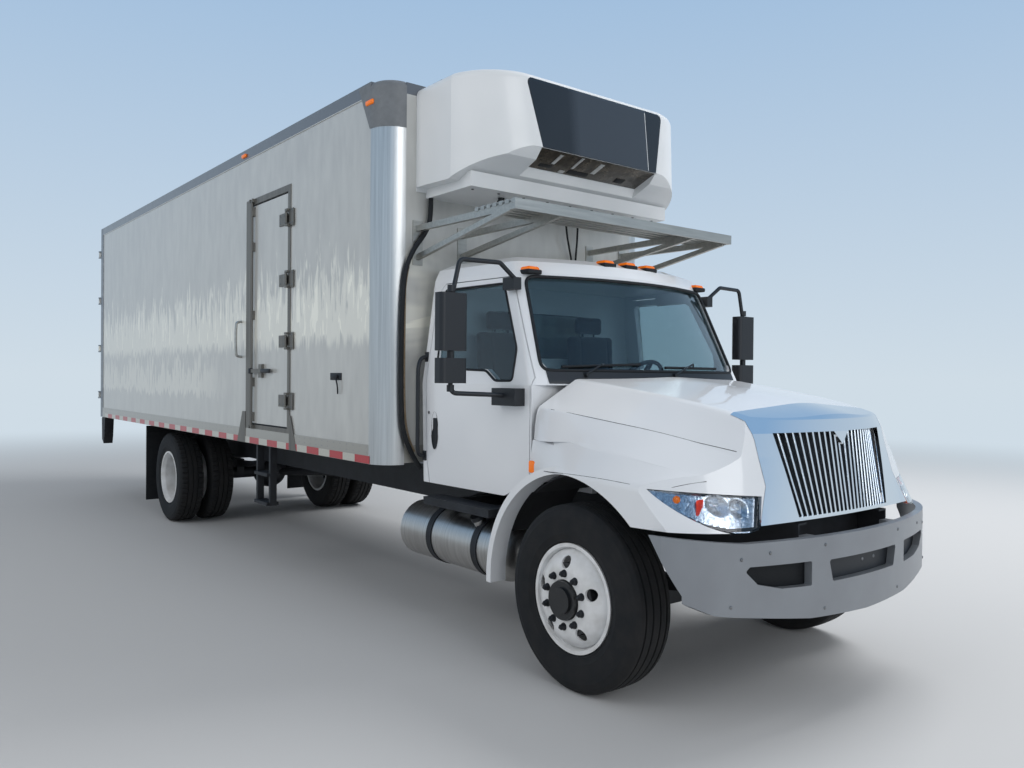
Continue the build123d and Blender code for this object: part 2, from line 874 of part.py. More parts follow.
# Seats for the driver and a passenger: pedestal, cushion and back in one, and headrest
with BuildPart() as seats:
    for y in (driver_y, -driver_y):
        with Locations((-1240, y, 1190)):
            Box(330, 330, 280)
        with BuildSketch(across(y - 245)):
            with BuildLine():
                FilletPolyline(
                    (-960, 1325),
                    (-960, 1460),
                    (-1350, 1440),
                    (-1420, 2050),
                    (-1530, 2050),
                    (-1490, 1325),
                    close=True,
                    radius=35,
                )
            make_face()
        extrude(amount=-490)
        with Locations((-1480, y, 2110)):
            Box(80, 280, 150)
save(seats, "seats")

# Hood: one moulded shell with both fenders, open below and behind. Its sides follow cross sections
# along the truck, and its nose follows plans that step up from the fenders to the top.
hood_thick = 24
hood_rear = -425
skirt_z = 975
hood_sections = [           # station, crown z, then y and z of shoulder, side, bulge and fender
    (hood_rear, 1738, 745, 1708, 975, 1530, 1008, 1360, 1030, 1195),
    (0, 1690, 715, 1655, 950, 1490, 1062, 1350, 1150, 1200),
    (350, 1642, 680, 1605, 900, 1440, 1062, 1312, 1160, 1185),
    (620, 1598, 650, 1556, 815, 1385, 990, 1262, 1122, 1168),
    (820, 1555, 630, 1503, 715, 1325, 870, 1220, 1075, 1150),
    (1010, 1500, 620, 1435, 665, 1250, 770, 1180, 1010, 1130),
]
section_radii = [0, 0, 60, 90, 60, 70, 2000, 70, 60, 90, 60, 0]
nose_plans = [              # height, side x, middle x and y of the corner, front x and y, nose x
    (860, 430, 845, 1040, 985, 640, 998),
    (1150, 380, 768, 935, 905, 622, 966),
    (1320, 330, 720, 900, 855, 618, 950),
    (1434, 300, 690, 890, 825, 615, 935),
    (1500, 280, 660, 880, 792, 612, 918),
    (1560, 250, 610, 870, 735, 608, 878),
    (1640, 200, 530, 860, 640, 604, 780),
    (1760, 100, 380, 840, 450, 600, 620),
]


def hood_section(section, inset, shift):
    """Cross section of the hood, drawn in by the inset and moved along the truck by the shift."""
    station, crown, shoulder_y, shoulder_z, side_y, side_z, bulge_y, bulge_z, fender_y, fender_z = section
    low = skirt_z - (80 if inset else 0)
    half = [
        (fender_y - inset, low),
        (fender_y - inset, fender_z - 0.4 * inset),
        (bulge_y - 0.8 * inset, bulge_z - 0.8 * inset),
        (side_y - inset, side_z - 0.6 * inset),
        (shoulder_y - 0.6 * inset, shoulder_z - inset),
    ]
    with BuildSketch(Plane.YZ.offset(station + shift)) as outline:
        with BuildLine():
            FilletPolyline(
                (0, low),
                *[(-y, z) for y, z in half],
                (0, crown - inset),
                *reversed(half),
                close=True,
                radius=section_radii,
            )
        make_face()
    return outline.sketch


def nose_outline(plan):
    """Plan of the hood's nose at one height."""
    height, side_x, middle_x, middle_y, front_x, front_y, nose_x = plan
    wide = 1200
    with BuildSketch(Plane.XY.offset(height)) as outline:
        with BuildLine():
            Polyline((side_x, wide), (hood_rear - 100, wide), (hood_rear - 100, -wide), (side_x, -wide))
            ThreePointArc((side_x, -wide), (middle_x, -middle_y), (front_x, -front_y))
            ThreePointArc((front_x, -front_y), (nose_x, 0), (front_x, front_y))
            ThreePointArc((front_x, front_y), (middle_x, middle_y), (side_x, wide))
        make_face()
    return outline.sketch


def fill_hood(inset):
    """The hood as a solid: its sections, cut to the plans of its nose."""
    for index, section in enumerate(hood_sections):
        shift = -60 if inset and index == 0 else 0
        add(hood_section(section, inset, shift))
    loft()


with BuildPart() as nose_outer:
    for plan in nose_plans:
        add(nose_outline(plan))
    loft(ruled=True)
with BuildPart() as hood_outer:
    fill_hood(0)
    add(nose_outer.part, mode=Mode.INTERSECT)
with BuildPart() as hood_inner:
    fill_hood(hood_thick)
    add(nose_outer.part.moved(Location((-hood_thick, 0, 0))), mode=Mode.INTERSECT)
with BuildPart() as hood_skin:
    add(hood_outer.part)
    add(hood_inner.part, mode=Mode.SUBTRACT)


def surround_outline(grow):
    """Front outline of the grille surround: narrow at the waist, its feet spread to the headlamps."""
    half = [(715, 1000), (655, 1110), (618, 1180), (622, 1400), (655, 1585)]
    with BuildSketch(Plane.YZ.offset(700)) as outline:
        with BuildLine():
            Polyline(
                *[(y + grow, z - grow if z < 1010 else z) for y, z in half],
                *[(-y - grow, z - grow if z < 1010 else z) for y, z in reversed(half)],
                close=True,
            )
        make_face()
    return outline.sketch


def lamp_outline(side, grow):
    """Front outline of a headlamp: pointed at its outer tip, cut by a diagonal at its inner end."""
    with BuildSketch(Plane.YZ.offset(lamp_rear)) as outline:
        with BuildLine():
            Line((side * (1112 + grow), 1166 + grow), (side * (662 - grow), 1132 + grow))
            Line((side * (662 - grow), 1132 + grow), (side * (722 - grow), 988 - grow))
            ThreePointArc(
                (side * (722 - grow), 988 - grow),
                (side * (985 + grow / 2), 1018 - grow),
                (side * (1112 + grow), 1166 + grow),
            )
        make_face()
    return outline.sketch


lamp_rear = 480
seam = 3
opening_low = 1018
opening_high = 1436
opening_half = (430, 512)   # at the bottom and at the top
notch_depth = 70
hood_rear_cut = 1480        # height above which the hood's rear edge follows the cowl's arc
flare_inner = 1013          # behind the hood's edge the flare passes outside the doors
with BuildPart() as hood:
    add(hood_skin.part)
    for side in (-1, 1):
        with BuildSketch(across(side * 1000)):
            with Locations((0, arch_z)):
                Circle(arch_radius + flare_width)
        extrude(amount=-side * 128)
    for side in (-1, 1):
        with BuildSketch(across(side * 700)):
            with Locations((0, arch_z)):
                Circle(arch_radius)
        extrude(amount=-side * 600, mode=Mode.SUBTRACT)
        with BuildSketch(across(side * 900)):
            with Locations((400, 300)):
                Rectangle(700, 2 * (skirt_z - 300))
            with Locations((-400, 0)):
                Rectangle(900, 940)
        extrude(amount=-side * 400, mode=Mode.SUBTRACT)
        with Locations((hood_rear - 250, side * (flare_inner - 100), arch_z + 300)):
            Box(500, 200, 1000, mode=Mode.SUBTRACT)
        extrude(lamp_outline(side, seam), amount=700, mode=Mode.SUBTRACT)
    extrude(surround_outline(seam), amount=500, mode=Mode.SUBTRACT)
    with Locations((900, 0, 900)):
        Box(400, 1520, 200, mode=Mode.SUBTRACT)
    with BuildSketch(Plane.XY.offset(hood_rear_cut)):
        with BuildLine():
            Polyline((-460, -1060), (-900, -1060), (-900, 1060), (-460, 1060))
            ThreePointArc((-460, 1060), (-215, 0), (-460, -1060))
        make_face()
    extrude(amount=400, mode=Mode.SUBTRACT)
save(hood, "hood")

# Grille: bright surround cut from the same skin, and its upright bars
bars_each_side = 11
bar_width = 13
bar_depth = 34
bar_lean = (982, 925)       # face of the middle bars at the bottom and at the top
bar_sweep = (40, 110)       # how far the outermost bars stand behind them


def bar_outline(height, y, face):
    """Plan of one bar at a height, its front face at the given station."""
    with BuildSketch(Plane.XY.offset(height)) as outline:
        with Locations((face - bar_depth / 2, y)):
            RectangleRounded(bar_depth, bar_width, 4)
    return outline.sketch


with BuildPart() as grille_bars:
    for index in range(-bars_each_side, bars_each_side + 1):
        share = index / (bars_each_side + 0.5)
        foot = bar_lean[0] - bar_sweep[0] * share * share
        head = bar_lean[1] - bar_sweep[1] * share * share
        notch = max(notch_depth - abs(share) * opening_half[1], 0)
        add(bar_outline(opening_low - 8, share * opening_half[0], foot))
        add(bar_outline(opening_high + 8 - notch, share * opening_half[1], head))
        loft()
with BuildPart() as grille:
    extrude(surround_outline(0), amount=500)
    add(hood_skin.part, mode=Mode.INTERSECT)
    for side in (-1, 1):
        extrude(lamp_outline(side, seam), amount=700, mode=Mode.SUBTRACT)
    with BuildSketch(Plane.YZ.offset(700)):
        with BuildLine():
            Polyline(
                (-opening_half[0], opening_low),
                (opening_half[0], opening_low),
                (opening_half[1], opening_high),
                (notch_depth, opening_high),
                (0, opening_high - notch_depth),
                (-notch_depth, opening_high),
                (-opening_half[1], opening_high),
                close=True,
            )
        make_face()
    extrude(amount=500, mode=Mode.SUBTRACT)
    add(grille_bars.part)
save(grille, "grille")

# Headlamps: clear lens in the hood's corner with a bowl behind it
with BuildPart() as headlamps:
    for side in (-1, 1):
        extrude(lamp_outline(side, 0), amount=700)
    add(hood_skin.part, mode=Mode.INTERSECT)
save(headlamps, "headlamps")

# Wheel liners under the fenders, which tilt with the hood, and the splash guards behind them on the cab
liner_radius = 660
liner_thick = 6
liner_ends = (40, 128)      # angles from the front
guard_ends = (130, 160)


def arch_band(y, outer, thick, ends):
    """Side outline of a thin band bent about the wheel, between two angles."""
    low, high = ends
    rays = [(cos(radians(angle)), sin(radians(angle))) for angle in ends]
    inner = outer - thick
    with BuildSketch(across(y)) as band:
        with BuildLine():
            CenterArc((0, arch_z), outer, low, high - low)
            CenterArc((0, arch_z), inner, high, low - high)
            for c, s in rays:
                Line((inner * c, arch_z + inner * s), (outer * c, arch_z + outer * s))
        make_face()
    return band.sketch


with BuildPart() as wheel_liners:
    for side in (-1, 1):
        extrude(arch_band(side * 520, liner_radius, liner_thick, liner_ends), amount=-side * 480)
save(wheel_liners, "wheel_liners")

guard_radius = arch_radius + flare_width + arch_gap - 0.3
with BuildPart() as splash_guards:
    for side in (-1, 1):
        extrude(arch_band(side * 535, guard_radius, 10, guard_ends), amount=-side * 455)
save(splash_guards, "splash_guards")

# Front bumper: a deep pressed shell, swept back at its ends, with three openings
bumper_half = 1185
bumper_top = 964
bumper_low = 524
bumper_depth = 42
bracket_y = 394
bracket_width = 70


def bumper_plan(inset, height):
    """Plan of the bumper, drawn in by the inset."""
    with BuildSketch(Plane.XY.offset(height)) as plan:
        with BuildLine():
            ThreePointArc((960 - inset, -850), (bumper_nose - inset, 0), (960 - inset, 850))
            ThreePointArc(
                (960 - inset, 850),
                (866 - 0.8 * inset, 1032 - 0.5 * inset),
                (700 - 0.5 * inset, 1158 - 0.8 * inset),
            )
            Polyline(
                (700 - 0.5 * inset, 1158 - 0.8 * inset),
                (590, bumper_half - inset),
                (590, inset - bumper_half),
                (700 - 0.5 * inset, 0.8 * inset - 1158),
            )
            ThreePointArc(
                (700 - 0.5 * inset, 0.8 * inset - 1158),
                (866 - 0.8 * inset, 0.5 * inset - 1032),
                (960 - inset, -850),
            )
        make_face()
    return plan.sketch


with BuildPart() as bumper_hollow:
    extrude(bumper_plan(bumper_depth, bumper_low - 40), amount=520)
    with Locations((540, 0, bumper_low + 220)):
        Box(260, 2 * (bumper_half - bumper_depth), 520)
with BuildPart() as bumper:
    extrude(bumper_plan(0, bumper_low - 20), amount=480)
    add(bumper_hollow.part, mode=Mode.SUBTRACT)
    with BuildSketch(Plane.YZ.offset(500)):
        with BuildLine():
            Polyline(
                (-1200, 700),
                (-1000, 602),
                (-460, 538),
                (0, bumper_low),
                (460, 538),
                (1000, 602),
                (1200, 700),
                (1200, bumper_top),
                (850, 932),
                (-850, 932),
                (-1200, bumper_top),
                close=True,
            )
        make_face()
    extrude(amount=700, mode=Mode.INTERSECT)
    with BuildSketch(across(1300)):
        with BuildLine():
            Polyline((560, 980), (622, 980), (785, 690), (785, 480), (560, 480), close=True)
        make_face()
    extrude(amount=2600, mode=Mode.SUBTRACT)
    with BuildSketch(Plane.YZ.offset(700)):
        with BuildLine():
            FilletPolyline((-300, 702), (300, 702), (330, 812), (-330, 812), close=True, radius=14)
        make_face()
        for side in (-1, 1):
            with BuildLine():
                FilletPolyline(
                    (side * 455, 698),
                    (side * 455, 818),
                    (side * 835, 822),
                    (side * 858, 800),
                    (side * 790, 735),
                    (side * 650, 704),
                    close=True,
                    radius=10,
                )
            make_face()
    extrude(amount=500, mode=Mode.SUBTRACT)
    for side in (-1, 1):
        with Locations((rail_front + 43, side * bracket_y, 858)):
            Box(86, bracket_width, 140)
save(bumper, "bumper")

# Insulated body: floor on its long sills
wall_front = body_front - corner_radius
wall_rear = body_rear + 120
wall_middle = (wall_front + wall_rear) / 2
inner_half = sheet_y - body_wall
post_y = body_half - corner_radius
sill_y = 394
floor_front = body_front - 100
with BuildPart() as box_floor:
    with BuildSketch(Plane.XY.offset(floor_bottom)) as floor_plan:
        with Locations(((floor_front + wall_rear) / 2, 0)):
            Rectangle(floor_front - wall_rear, 2 * inner_half)
        fillet(floor_plan.vertices().group_by(Axis.X)[-1], 100)
    extrude(amount=floor_top - floor_bottom)
    for side in (-1, 1):
        with Locations(((floor_front + wall_rear) / 2, side * sill_y, (rail_top + floor_bottom) / 2)):
            Box(floor_front - wall_rear, spring_width, floor_bottom - rail_top)
save(box_floor, "box_floor")

# Side walls with their bottom and top rails; the right one has the side door's opening
bottom_rail_top = 1222
top_rail_bottom = 3662
side_opening = (-4055, -3265, 1260, 3228)   # rear, front, bottom, top
for side in (-1, 1):
    with BuildPart() as box_side:
        with Locations((wall_middle, side * (sheet_y - body_wall / 2), (body_bottom + body_top) / 2)):
            Box(wall_front - wall_rear, body_wall, body_top - body_bottom)
        for low, high in ((body_bottom, bottom_rail_top), (top_rail_bottom, body_top)):
            with Locations((wall_middle, side * (body_half - 10), (low + high) / 2)):
                Box(wall_front - wall_rear, 20, high - low)
        if side < 0:
            rear, front, low, high = side_opening
            with Locations(((rear + front) / 2, side * (body_half - 40), (low + high) / 2)):
                Box(front - rear, 140, high - low, mode=Mode.SUBTRACT)
    save(box_side, f"box_side_{side_name(side)}")

# Front wall, with the cooling unit's evaporator hung inside it
roof_bottom = 3690
roof_top = 3748
evaporator_reach = 560
with BuildPart() as box_front:
    with Locations((body_front - 50, 0, (floor_bottom + roof_bottom) / 2)):
        Box(100, 2 * post_y, roof_bottom - floor_bottom)
    with BuildSketch(across(-800)):
        with BuildLine():
            Polyline(
                (floor_front, 3560),
                (floor_front, 2950),
                (floor_front - 220, 2950),
                (floor_front - evaporator_reach, 3230),
                (floor_front - evaporator_reach, 3560),
                close=True,
            )
        make_face()
    extrude(amount=-1600)
save(box_front, "box_front")

# Roof
with BuildPart() as box_roof:
    with BuildSketch(Plane.XY.offset(roof_bottom)):
        with BuildLine():
            Polyline(
                (wall_rear, inner_half),
                (wall_rear, -inner_half),
                (wall_front, -inner_half),
                (wall_front, -post_y),
                (body_front, -post_y),
                (body_front, post_y),
                (wall_front, post_y),
                (wall_front, inner_half),
                close=True,
            )
        make_face()
    extrude(amount=roof_top - roof_bottom)
save(box_roof, "box_roof")

# Corner posts: rounded extrusions up the front corners, each under a moulded cap
cap_bottom = 3432
cap_proud = 3
post_inner = 105
diagonal = cos(radians(45))
with BuildPart() as corner_posts:
    for side in (-1, 1):
        with BuildSketch(Plane.XY.offset(body_bottom)):
            with BuildLine():
                ThreePointArc(
                    (wall_front, side * body_half),
                    (wall_front + corner_radius * diagonal, side * (post_y + corner_radius * diagonal)),
                    (body_front, side * post_y),
                )
                Line((body_front, side * post_y), (wall_front + post_inner, side * post_y))
                ThreePointArc(
                    (wall_front + post_inner, side * post_y),
                    (wall_front + post_inner * diagonal, side * (post_y + post_inner * diagonal)),
                    (wall_front, side * (post_y + post_inner)),
                )
                Line((wall_front, side * (post_y + post_inner)), (wall_front, side * body_half))
            make_face()
        extrude(amount=cap_bottom - body_bottom)
save(corner_posts, "corner_posts")

cap_radius = corner_radius + cap_proud
with BuildPart() as corner_caps:
    for side in (-1, 1):
        with BuildSketch(Plane.XY.offset(cap_bottom)):
            with BuildLine():
                ThreePointArc(
                    (wall_front, side * (post_y + cap_radius)),
                    (wall_front + cap_radius * diagonal, side * (post_y + cap_radius * diagonal)),
                    (wall_front + cap_radius, side * post_y),
                )
                Polyline(
                    (wall_front + cap_radius, side * post_y),
                    (wall_front, side * post_y),
                    (wall_front, side * (post_y + cap_radius)),
                )
            make_face()
        extrude(amount=body_top + cap_proud - cap_bottom)
    fillet(corner_caps.edges().group_by(Axis.Z)[-1].filter_by(GeomType.CIRCLE), 55)
    for side in (-1, 1):
        with BuildSketch(across(side * body_half)):
            with BuildLine():
                Polyline(
                    (wall_front, cap_bottom),
                    (wall_front - 10, cap_bottom),
                    (wall_front - 175, body_top - 12),
                    (wall_front, body_top - 12),
                    close=True,
                )
            make_face()
        extrude(amount=-side * cap_proud)
save(corner_caps, "corner_caps")

# Rear frame: posts, header and sill round the doorway, and the lugs on it that hold the doors' pins
post_wide = 120
door_high = 3590
door_low = 1230
door_middle = (door_low + door_high) / 2
rear_pin_x = body_rear - 48
rear_pin_y = 1303
rear_pin_radius = 10
rear_hinges = (1400, 2060, 2740, 3400)
strap_tall = 70
lug_tall = 14
with BuildPart() as rear_frame:
    with BuildSketch(Plane.YZ.offset(body_rear)):
        with Locations((0, (body_bottom + body_top) / 2)):
            Rectangle(2 * body_half, body_top - body_bottom)
        with Locations((0, door_middle)):
            Rectangle(2 * (body_half - post_wide), door_high - door_low + 20, mode=Mode.SUBTRACT)
    extrude(amount=120)
save(rear_frame, "rear_frame")

with BuildPart() as rear_hinge_lugs:
    for side in (-1, 1):
        for height in rear_hinges:
            for offset_z in (-strap_tall / 2 - lug_tall - 2, strap_tall / 2 + 2):
                with BuildSketch(Plane.XY.offset(height + offset_z)):
                    with BuildLine():
                        Polyline(
                            (body_rear, side * 1225),
                            (rear_pin_x + 14, side * 1262),
                            (rear_pin_x - 14, side * (rear_pin_y - 14)),
                            (rear_pin_x - 14, side * (rear_pin_y + 14)),
                            (rear_pin_x + 14, side * (rear_pin_y + 14)),
                            (body_rear, side * body_half),
                            close=True,
                        )
                    make_face()
                    with Locations((rear_pin_x, side * rear_pin_y)):
                        Circle(rear_pin_radius + pin_clearance, mode=Mode.SUBTRACT)
                extrude(amount=lug_tall)
save(rear_hinge_lugs, "rear_hinge_lugs")

# Rear doors: two insulated leaves with strap hinges, and a lock rod on each
leaf_outer = body_half - post_wide - 10
leaf_inner = 10
leaf_thick = 70
rod_radius = 13
rod_reach = 22
for side in (-1, 1):
    with BuildPart() as rear_door:
        with Locations((body_rear + leaf_thick / 2, side * (leaf_inner + leaf_outer) / 2, door_middle)):
            Box(leaf_thick, leaf_outer - leaf_inner, door_high - door_low)
        for height in rear_hinges:
            with BuildSketch(Plane.XY.offset(height - strap_tall / 2)):
                with BuildLine():
                    Polyline(
                        (body_rear, side * 860),
                        (body_rear - 8, side * 860),
                        (body_rear - 8, side * 1170),
                        (rear_pin_x + 2, side * (rear_pin_y - 22)),
                        (rear_pin_x - 10, side * (rear_pin_y - 10)),
                        (rear_pin_x - 10, side * (rear_pin_y + 10)),
                        (rear_pin_x + 10, side * (rear_pin_y + 10)),
                        (rear_pin_x + 12, side * (rear_pin_y - 12)),
                        (body_rear - 1, side * 1186),
                        (body_rear - 1, side * leaf_outer),
                        (body_rear, side * leaf_outer),
                        close=True,
                    )
                make_face()
            extrude(amount=strap_tall)
            with Locations((rear_pin_x, side * rear_pin_y, height)):
                Cylinder(rear_pin_radius, strap_tall + 2 * lug_tall + 8)
        with Locations((body_rear - rod_reach, side * 190, door_middle)):
            Cylinder(rod_radius, door_high - door_low - 8)
        for height in (door_low + 60, 1720, 2400, 3000, door_high - 60):
            with Locations((body_rear - rod_reach / 2, side * 190, height)):
                Box(rod_reach, 60, 70)
        with Locations((body_rear - 16, side * 330, 1720)):
            Box(32, 300, 32)
    save(rear_door, f"rear_door_{side_name(side)}")

# Side door in the right wall, with its hinges' moving halves, its lock rod and handle
leaf = (-4042, -3278, 1273, 3215)           # rear, front, bottom, top
leaf_middle_x = (leaf[0] + leaf[1]) / 2
leaf_middle_z = (leaf[2] + leaf[3]) / 2
side_hinges = (3005, 2498, 1988, 1490)
side_pin_x = -3250
side_pin_y = -(sheet_y + 30)
with BuildPart() as side_door:
    with Locations((leaf_middle_x, -(sheet_y - body_wall / 2), leaf_middle_z)):
        Box(leaf[1] - leaf[0], body_wall, leaf[3] - leaf[2])
save(side_door, "side_door")

rod_x = -4012
rod_y = -(sheet_y + rod_reach)
handle_z = 1740
rod_guides = (1330, 1640, 2240, 2850, 3165)
with BuildPart() as side_door_hardware:
    with Locations((rod_x, rod_y, (1240 + 3262) / 2)):
        Cylinder(rod_radius, 3262 - 1240)
    for height in rod_guides:
        with Locations((rod_x, -(sheet_y + rod_reach / 2), height)):
            Box(56, rod_reach, 80)
    with Locations((rod_x + 215, rod_y - 8, handle_z)):
        Box(430, 14, 34)
    with Locations((rod_x + 205, -(sheet_y + 12), handle_z)):
        Box(70, 24, 120)
    for height in side_hinges:
        with Locations((side_pin_x, side_pin_y, height)):
            Cylinder(11, 100)
        with Locations((side_pin_x - 110, -(sheet_y + 5), height)):
            Box(150, 10, 100)
        with BuildSketch(Plane.XY.offset(height - 35)):
            with BuildLine():
                Polyline(
                    (side_pin_x - 45, -(sheet_y + 4)),
                    (side_pin_x - 45, -(sheet_y + 10)),
                    (side_pin_x - 6, side_pin_y - 8),
                    (side_pin_x + 4, side_pin_y + 6),
                    (side_pin_x - 30, -(sheet_y + 4)),
                    close=True,
                )
            make_face()
        extrude(amount=70)
save(side_door_hardware, "side_door_hardware")

# Frame round the side door with the hinges' fixed halves, the rod's keepers, and the gussets and
# ladder that carry the step below it
frame_outer = (-4180, -3215, bottom_rail_top, 3282)
frame_reveal = 13
gussets = [                 # station at the frame, at the bottom, at the top
    (frame_outer[0], -4376, -4250),
    (frame_outer[1], -3070, -3190),
]
with BuildPart() as side_door_frame:
    with BuildSketch(across(-sheet_y)):
        with Locations(((frame_outer[0] + frame_outer[1]) / 2, (frame_outer[2] + frame_outer[3]) / 2)):
            Rectangle(frame_outer[1] - frame_outer[0], frame_outer[3] - frame_outer[2])
        with Locations((leaf_middle_x, leaf_middle_z)):
            Rectangle(
                leaf[1] - leaf[0] + 2 * frame_reveal,
                leaf[3] - leaf[2] + 2 * frame_reveal,
                mode=Mode.SUBTRACT,
            )
    extrude(amount=rail_proud)
    for height in side_hinges:
        for shift in (-62, 62):
            with Locations((side_pin_x + 10, side_pin_y + 8, height + shift)):
                Box(46, 30, 18)
        with Locations((side_pin_x + 62, -(sheet_y + rail_proud + 3), height)):
            Box(88, 6, 142)
    for height in (1240, 3262):
        with BuildSketch(Plane.XY.offset(height - 15)):
            with BuildLine():
                Polyline(
                    (rod_x - 40, -sheet_y),
                    (rod_x - 40, rod_y - 12),
                    (rod_x - 20, rod_y - 12),
                    (rod_x - 20, -body_half),
                    (rod_x + 20, -body_half),
                    (rod_x + 20, rod_y - 12),
                    (rod_x + 40, rod_y - 12),
                    (rod_x + 40, -sheet_y),
                    close=True,
                )
            make_face()
        extrude(amount=30)
    with BuildSketch(across(-body_half)):
        for inner, foot, head in gussets:
            with BuildLine():
                Polyline((inner, body_bottom), (foot, body_bottom), (head, 1372), (inner, 1372), close=True)
            make_face()
    extrude(amount=4)
save(side_door_frame, "side_door_frame")

ladder_legs = (-4000, -3715)
ladder_y = -1225
ladder_foot = 560
with BuildPart() as side_ladder:
    for x in ladder_legs:
        with Locations((x, ladder_y, (ladder_foot + body_bottom) / 2)):
            Box(34, 60, body_bottom - ladder_foot)
    for height in (575, 830):
        with Locations((sum(ladder_legs) / 2, ladder_y, height)):
            Box(ladder_legs[1] - ladder_legs[0], 110, 28)
save(side_ladder, "side_ladder")

# Cooling unit on the front wall: shell over the machinery, with a dark face let into its front
unit_half = 1033
unit_low = 3000
unit_high = 3725
unit_plans = [              # height, nose x, face half width, middle of the corner x and y
    (unit_low, -868, 530, -1015, 880),
    (3230, -892, 560, -1030, 888),
    (unit_high, -945, 655, -1062, 905),
]


def unit_outline(plan):
    """Plan of the cooling unit at one height."""
    height, nose, face_half, corner_x, corner_y = plan
    with BuildSketch(Plane.XY.offset(height)) as outline:
        with BuildLine():
            Polyline(
                (-1270, unit_half), (body_front, unit_half), (body_front, -unit_half), (-1270, -unit_half)
            )
            ThreePointArc((-1270, -unit_half), (corner_x, -corner_y), (nose, -face_half))
            Line((nose, -face_half), (nose, face_half))
            ThreePointArc((nose, face_half), (corner_x, corner_y), (-1270, unit_half))
        make_face()
    return outline.sketch


def face_outline(grow):
    """Front outline of the dark face: wider at its rounded top."""
    with BuildSketch(Plane.YZ.offset(-985)) as outline:
        with BuildLine():
            FilletPolyline(
                (-551 - grow, 3232),
                (551 + grow, 3232),
                (660 + grow, 3688 + grow),
                (-660 - grow, 3688 + grow),
                close=True,
                radius=[4, 4, 40, 40],
            )
        make_face()
    return outline.sketch


with BuildPart() as unit_outer:
    for plan in unit_plans:
        add(unit_outline(plan))
    loft()
    fillet(unit_outer.faces().sort_by(Axis.Z)[-1].edges().sort_by(Axis.X)[1:], 60)
with BuildPart() as reefer_shell:
    add(unit_outer.part)
    with BuildSketch(across(1100)):
        with BuildLine():
            Polyline(
                (-1690, 2990),
                (-1690, 3030),
                (-1290, 3020),
                (-960, 3160),
                (-900, 3228),
                (-800, 3232),
                (-800, 2990),
                close=True,
            )
        make_face()
    extrude(amount=2200, mode=Mode.SUBTRACT)
    extrude(face_outline(2), amount=200, mode=Mode.SUBTRACT)
    with BuildSketch(across(-555)):
        with BuildLine():
            Polyline(
                (-800, 3232),
                (-900, 3232),
                (-1110, 3150),
                (-1150, 3050),
                (-1150, 2990),
                (-800, 2990),
                close=True,
            )
        make_face()
    extrude(amount=-1110, mode=Mode.SUBTRACT)
    with BuildSketch(Plane.XY.offset(2962)):
        with Locations(((body_front - 1150) / 2, 0)):
            Rectangle(-1150 - body_front, 1900)
    extrude(amount=100)
save(reefer_shell, "reefer_shell")

with BuildPart() as reefer_face:
    extrude(face_outline(0), amount=200)
    add(unit_outer.part, mode=Mode.INTERSECT)
save(reefer_face, "reefer_face")

# Catwalk: slatted service platform in front of the unit, on four triangular brackets
walk_front = -573
walk_rear = -985
walk_half = 1039
walk_z = 2715
slats = 7
slat_width = 38
bracket_width = 30
bracket_arms = [            # y, height of the upper arm at the wall, of the strut at the wall
    (-1020, 2722, 2520),
    (-640, 2712, 2560),
    (640, 2712, 2560),
    (1020, 2722, 2520),
]
with BuildPart() as catwalk:
    pitch = (walk_front - walk_rear - slat_width) / (slats - 1)
    for index in range(slats):
        with Locations((walk_rear + slat_width / 2 + index * pitch, 0, walk_z + 52)):
            Box(slat_width, 2 * walk_half, 26)
    with Locations((walk_front - 8, 0, walk_z + 30)):
        Box(16, 2 * walk_half, 60)
    for y, arm_z, strut_z in bracket_arms:
        with Locations(((walk_rear + walk_front) / 2, y, walk_z + 22)):
            Box(walk_front - walk_rear, bracket_width, 44)
        with BuildSketch(across(y - bracket_width / 2)):
            with BuildLine():
                Polyline(
                    (body_front + 8, arm_z),
                    (walk_rear + 10, walk_z),
                    (walk_rear + 10, walk_z + 44),
                    (body_front + 8, arm_z + 40),
                    close=True,
                )
            make_face()
            with BuildLine():
                Polyline(
                    (body_front + 8, strut_z),
                    (walk_front - 60, walk_z - 4),
                    (walk_front - 60, walk_z + 30),
                    (body_front + 8, strut_z + 38),
                    close=True,
                )
            make_face()
        extrude(amount=-bracket_width)
        with Locations((body_front + 4, y, (arm_z + strut_z) / 2 + 20)):
            Box(8, 80, arm_z - strut_z + 110)
save(catwalk, "catwalk")

# Hoses from the cooling unit down the body's right front corner to the chassis
hose_radius = 17
hose_x = body_front + 32
hose_runs = [               # y, z
    (-930, 2962),
    (-930, 2850),
    (-950, 2740),
    (-1110, 2540),
    (-1160, 2300),
    (-1165, 1560),
    (-1140, 1240),
    (-1000, 1060),
]
with BuildPart() as hoses:
    with BuildLine() as hose_line:
        FilletPolyline(*[(hose_x, y, z) for y, z in hose_runs], radius=[50, 50, 110, 110, 110, 110])
    with BuildSketch(Plane(hose_line.line @ 0, z_dir=hose_line.line % 0)):
        Circle(hose_radius)
    sweep(path=hose_line.line)
save(hoses, "hoses")

# Mud flaps behind the rear wheels, hung from brackets on the frame
flap_x = rear_axle_x - 880
with BuildPart() as mudflaps:
    for side in (-1, 1):
        with Locations((flap_x, side * dual_middle, 600)):
            Box(10, 610, 920)
        with Locations((flap_x + 14, side * (rail_outer + 1230) / 2, 960)):
            Box(18, 1230 - rail_outer, 40)
save(mudflaps, "mudflaps")

# Lamps: amber markers on the cab's roof, red ones on the rear frame
roof_lamps = [              # station, y
    (-655, 0),
    (-660, 200),
    (-660, -200),
    (-720, 800),
    (-720, -800),
]
with BuildPart() as lamps:
    for x, y in roof_lamps:
        with Locations((x, y, 2435)):
            Box(90, 110, 56)
    add(cab_outer.part, mode=Mode.SUBTRACT)
    for side in (-1, 1):
        for z in (1150, 3690):
            with Locations((body_rear - 8, side * 1190, z)):
                Box(16, 60, 50)
save(lamps, "lamps")

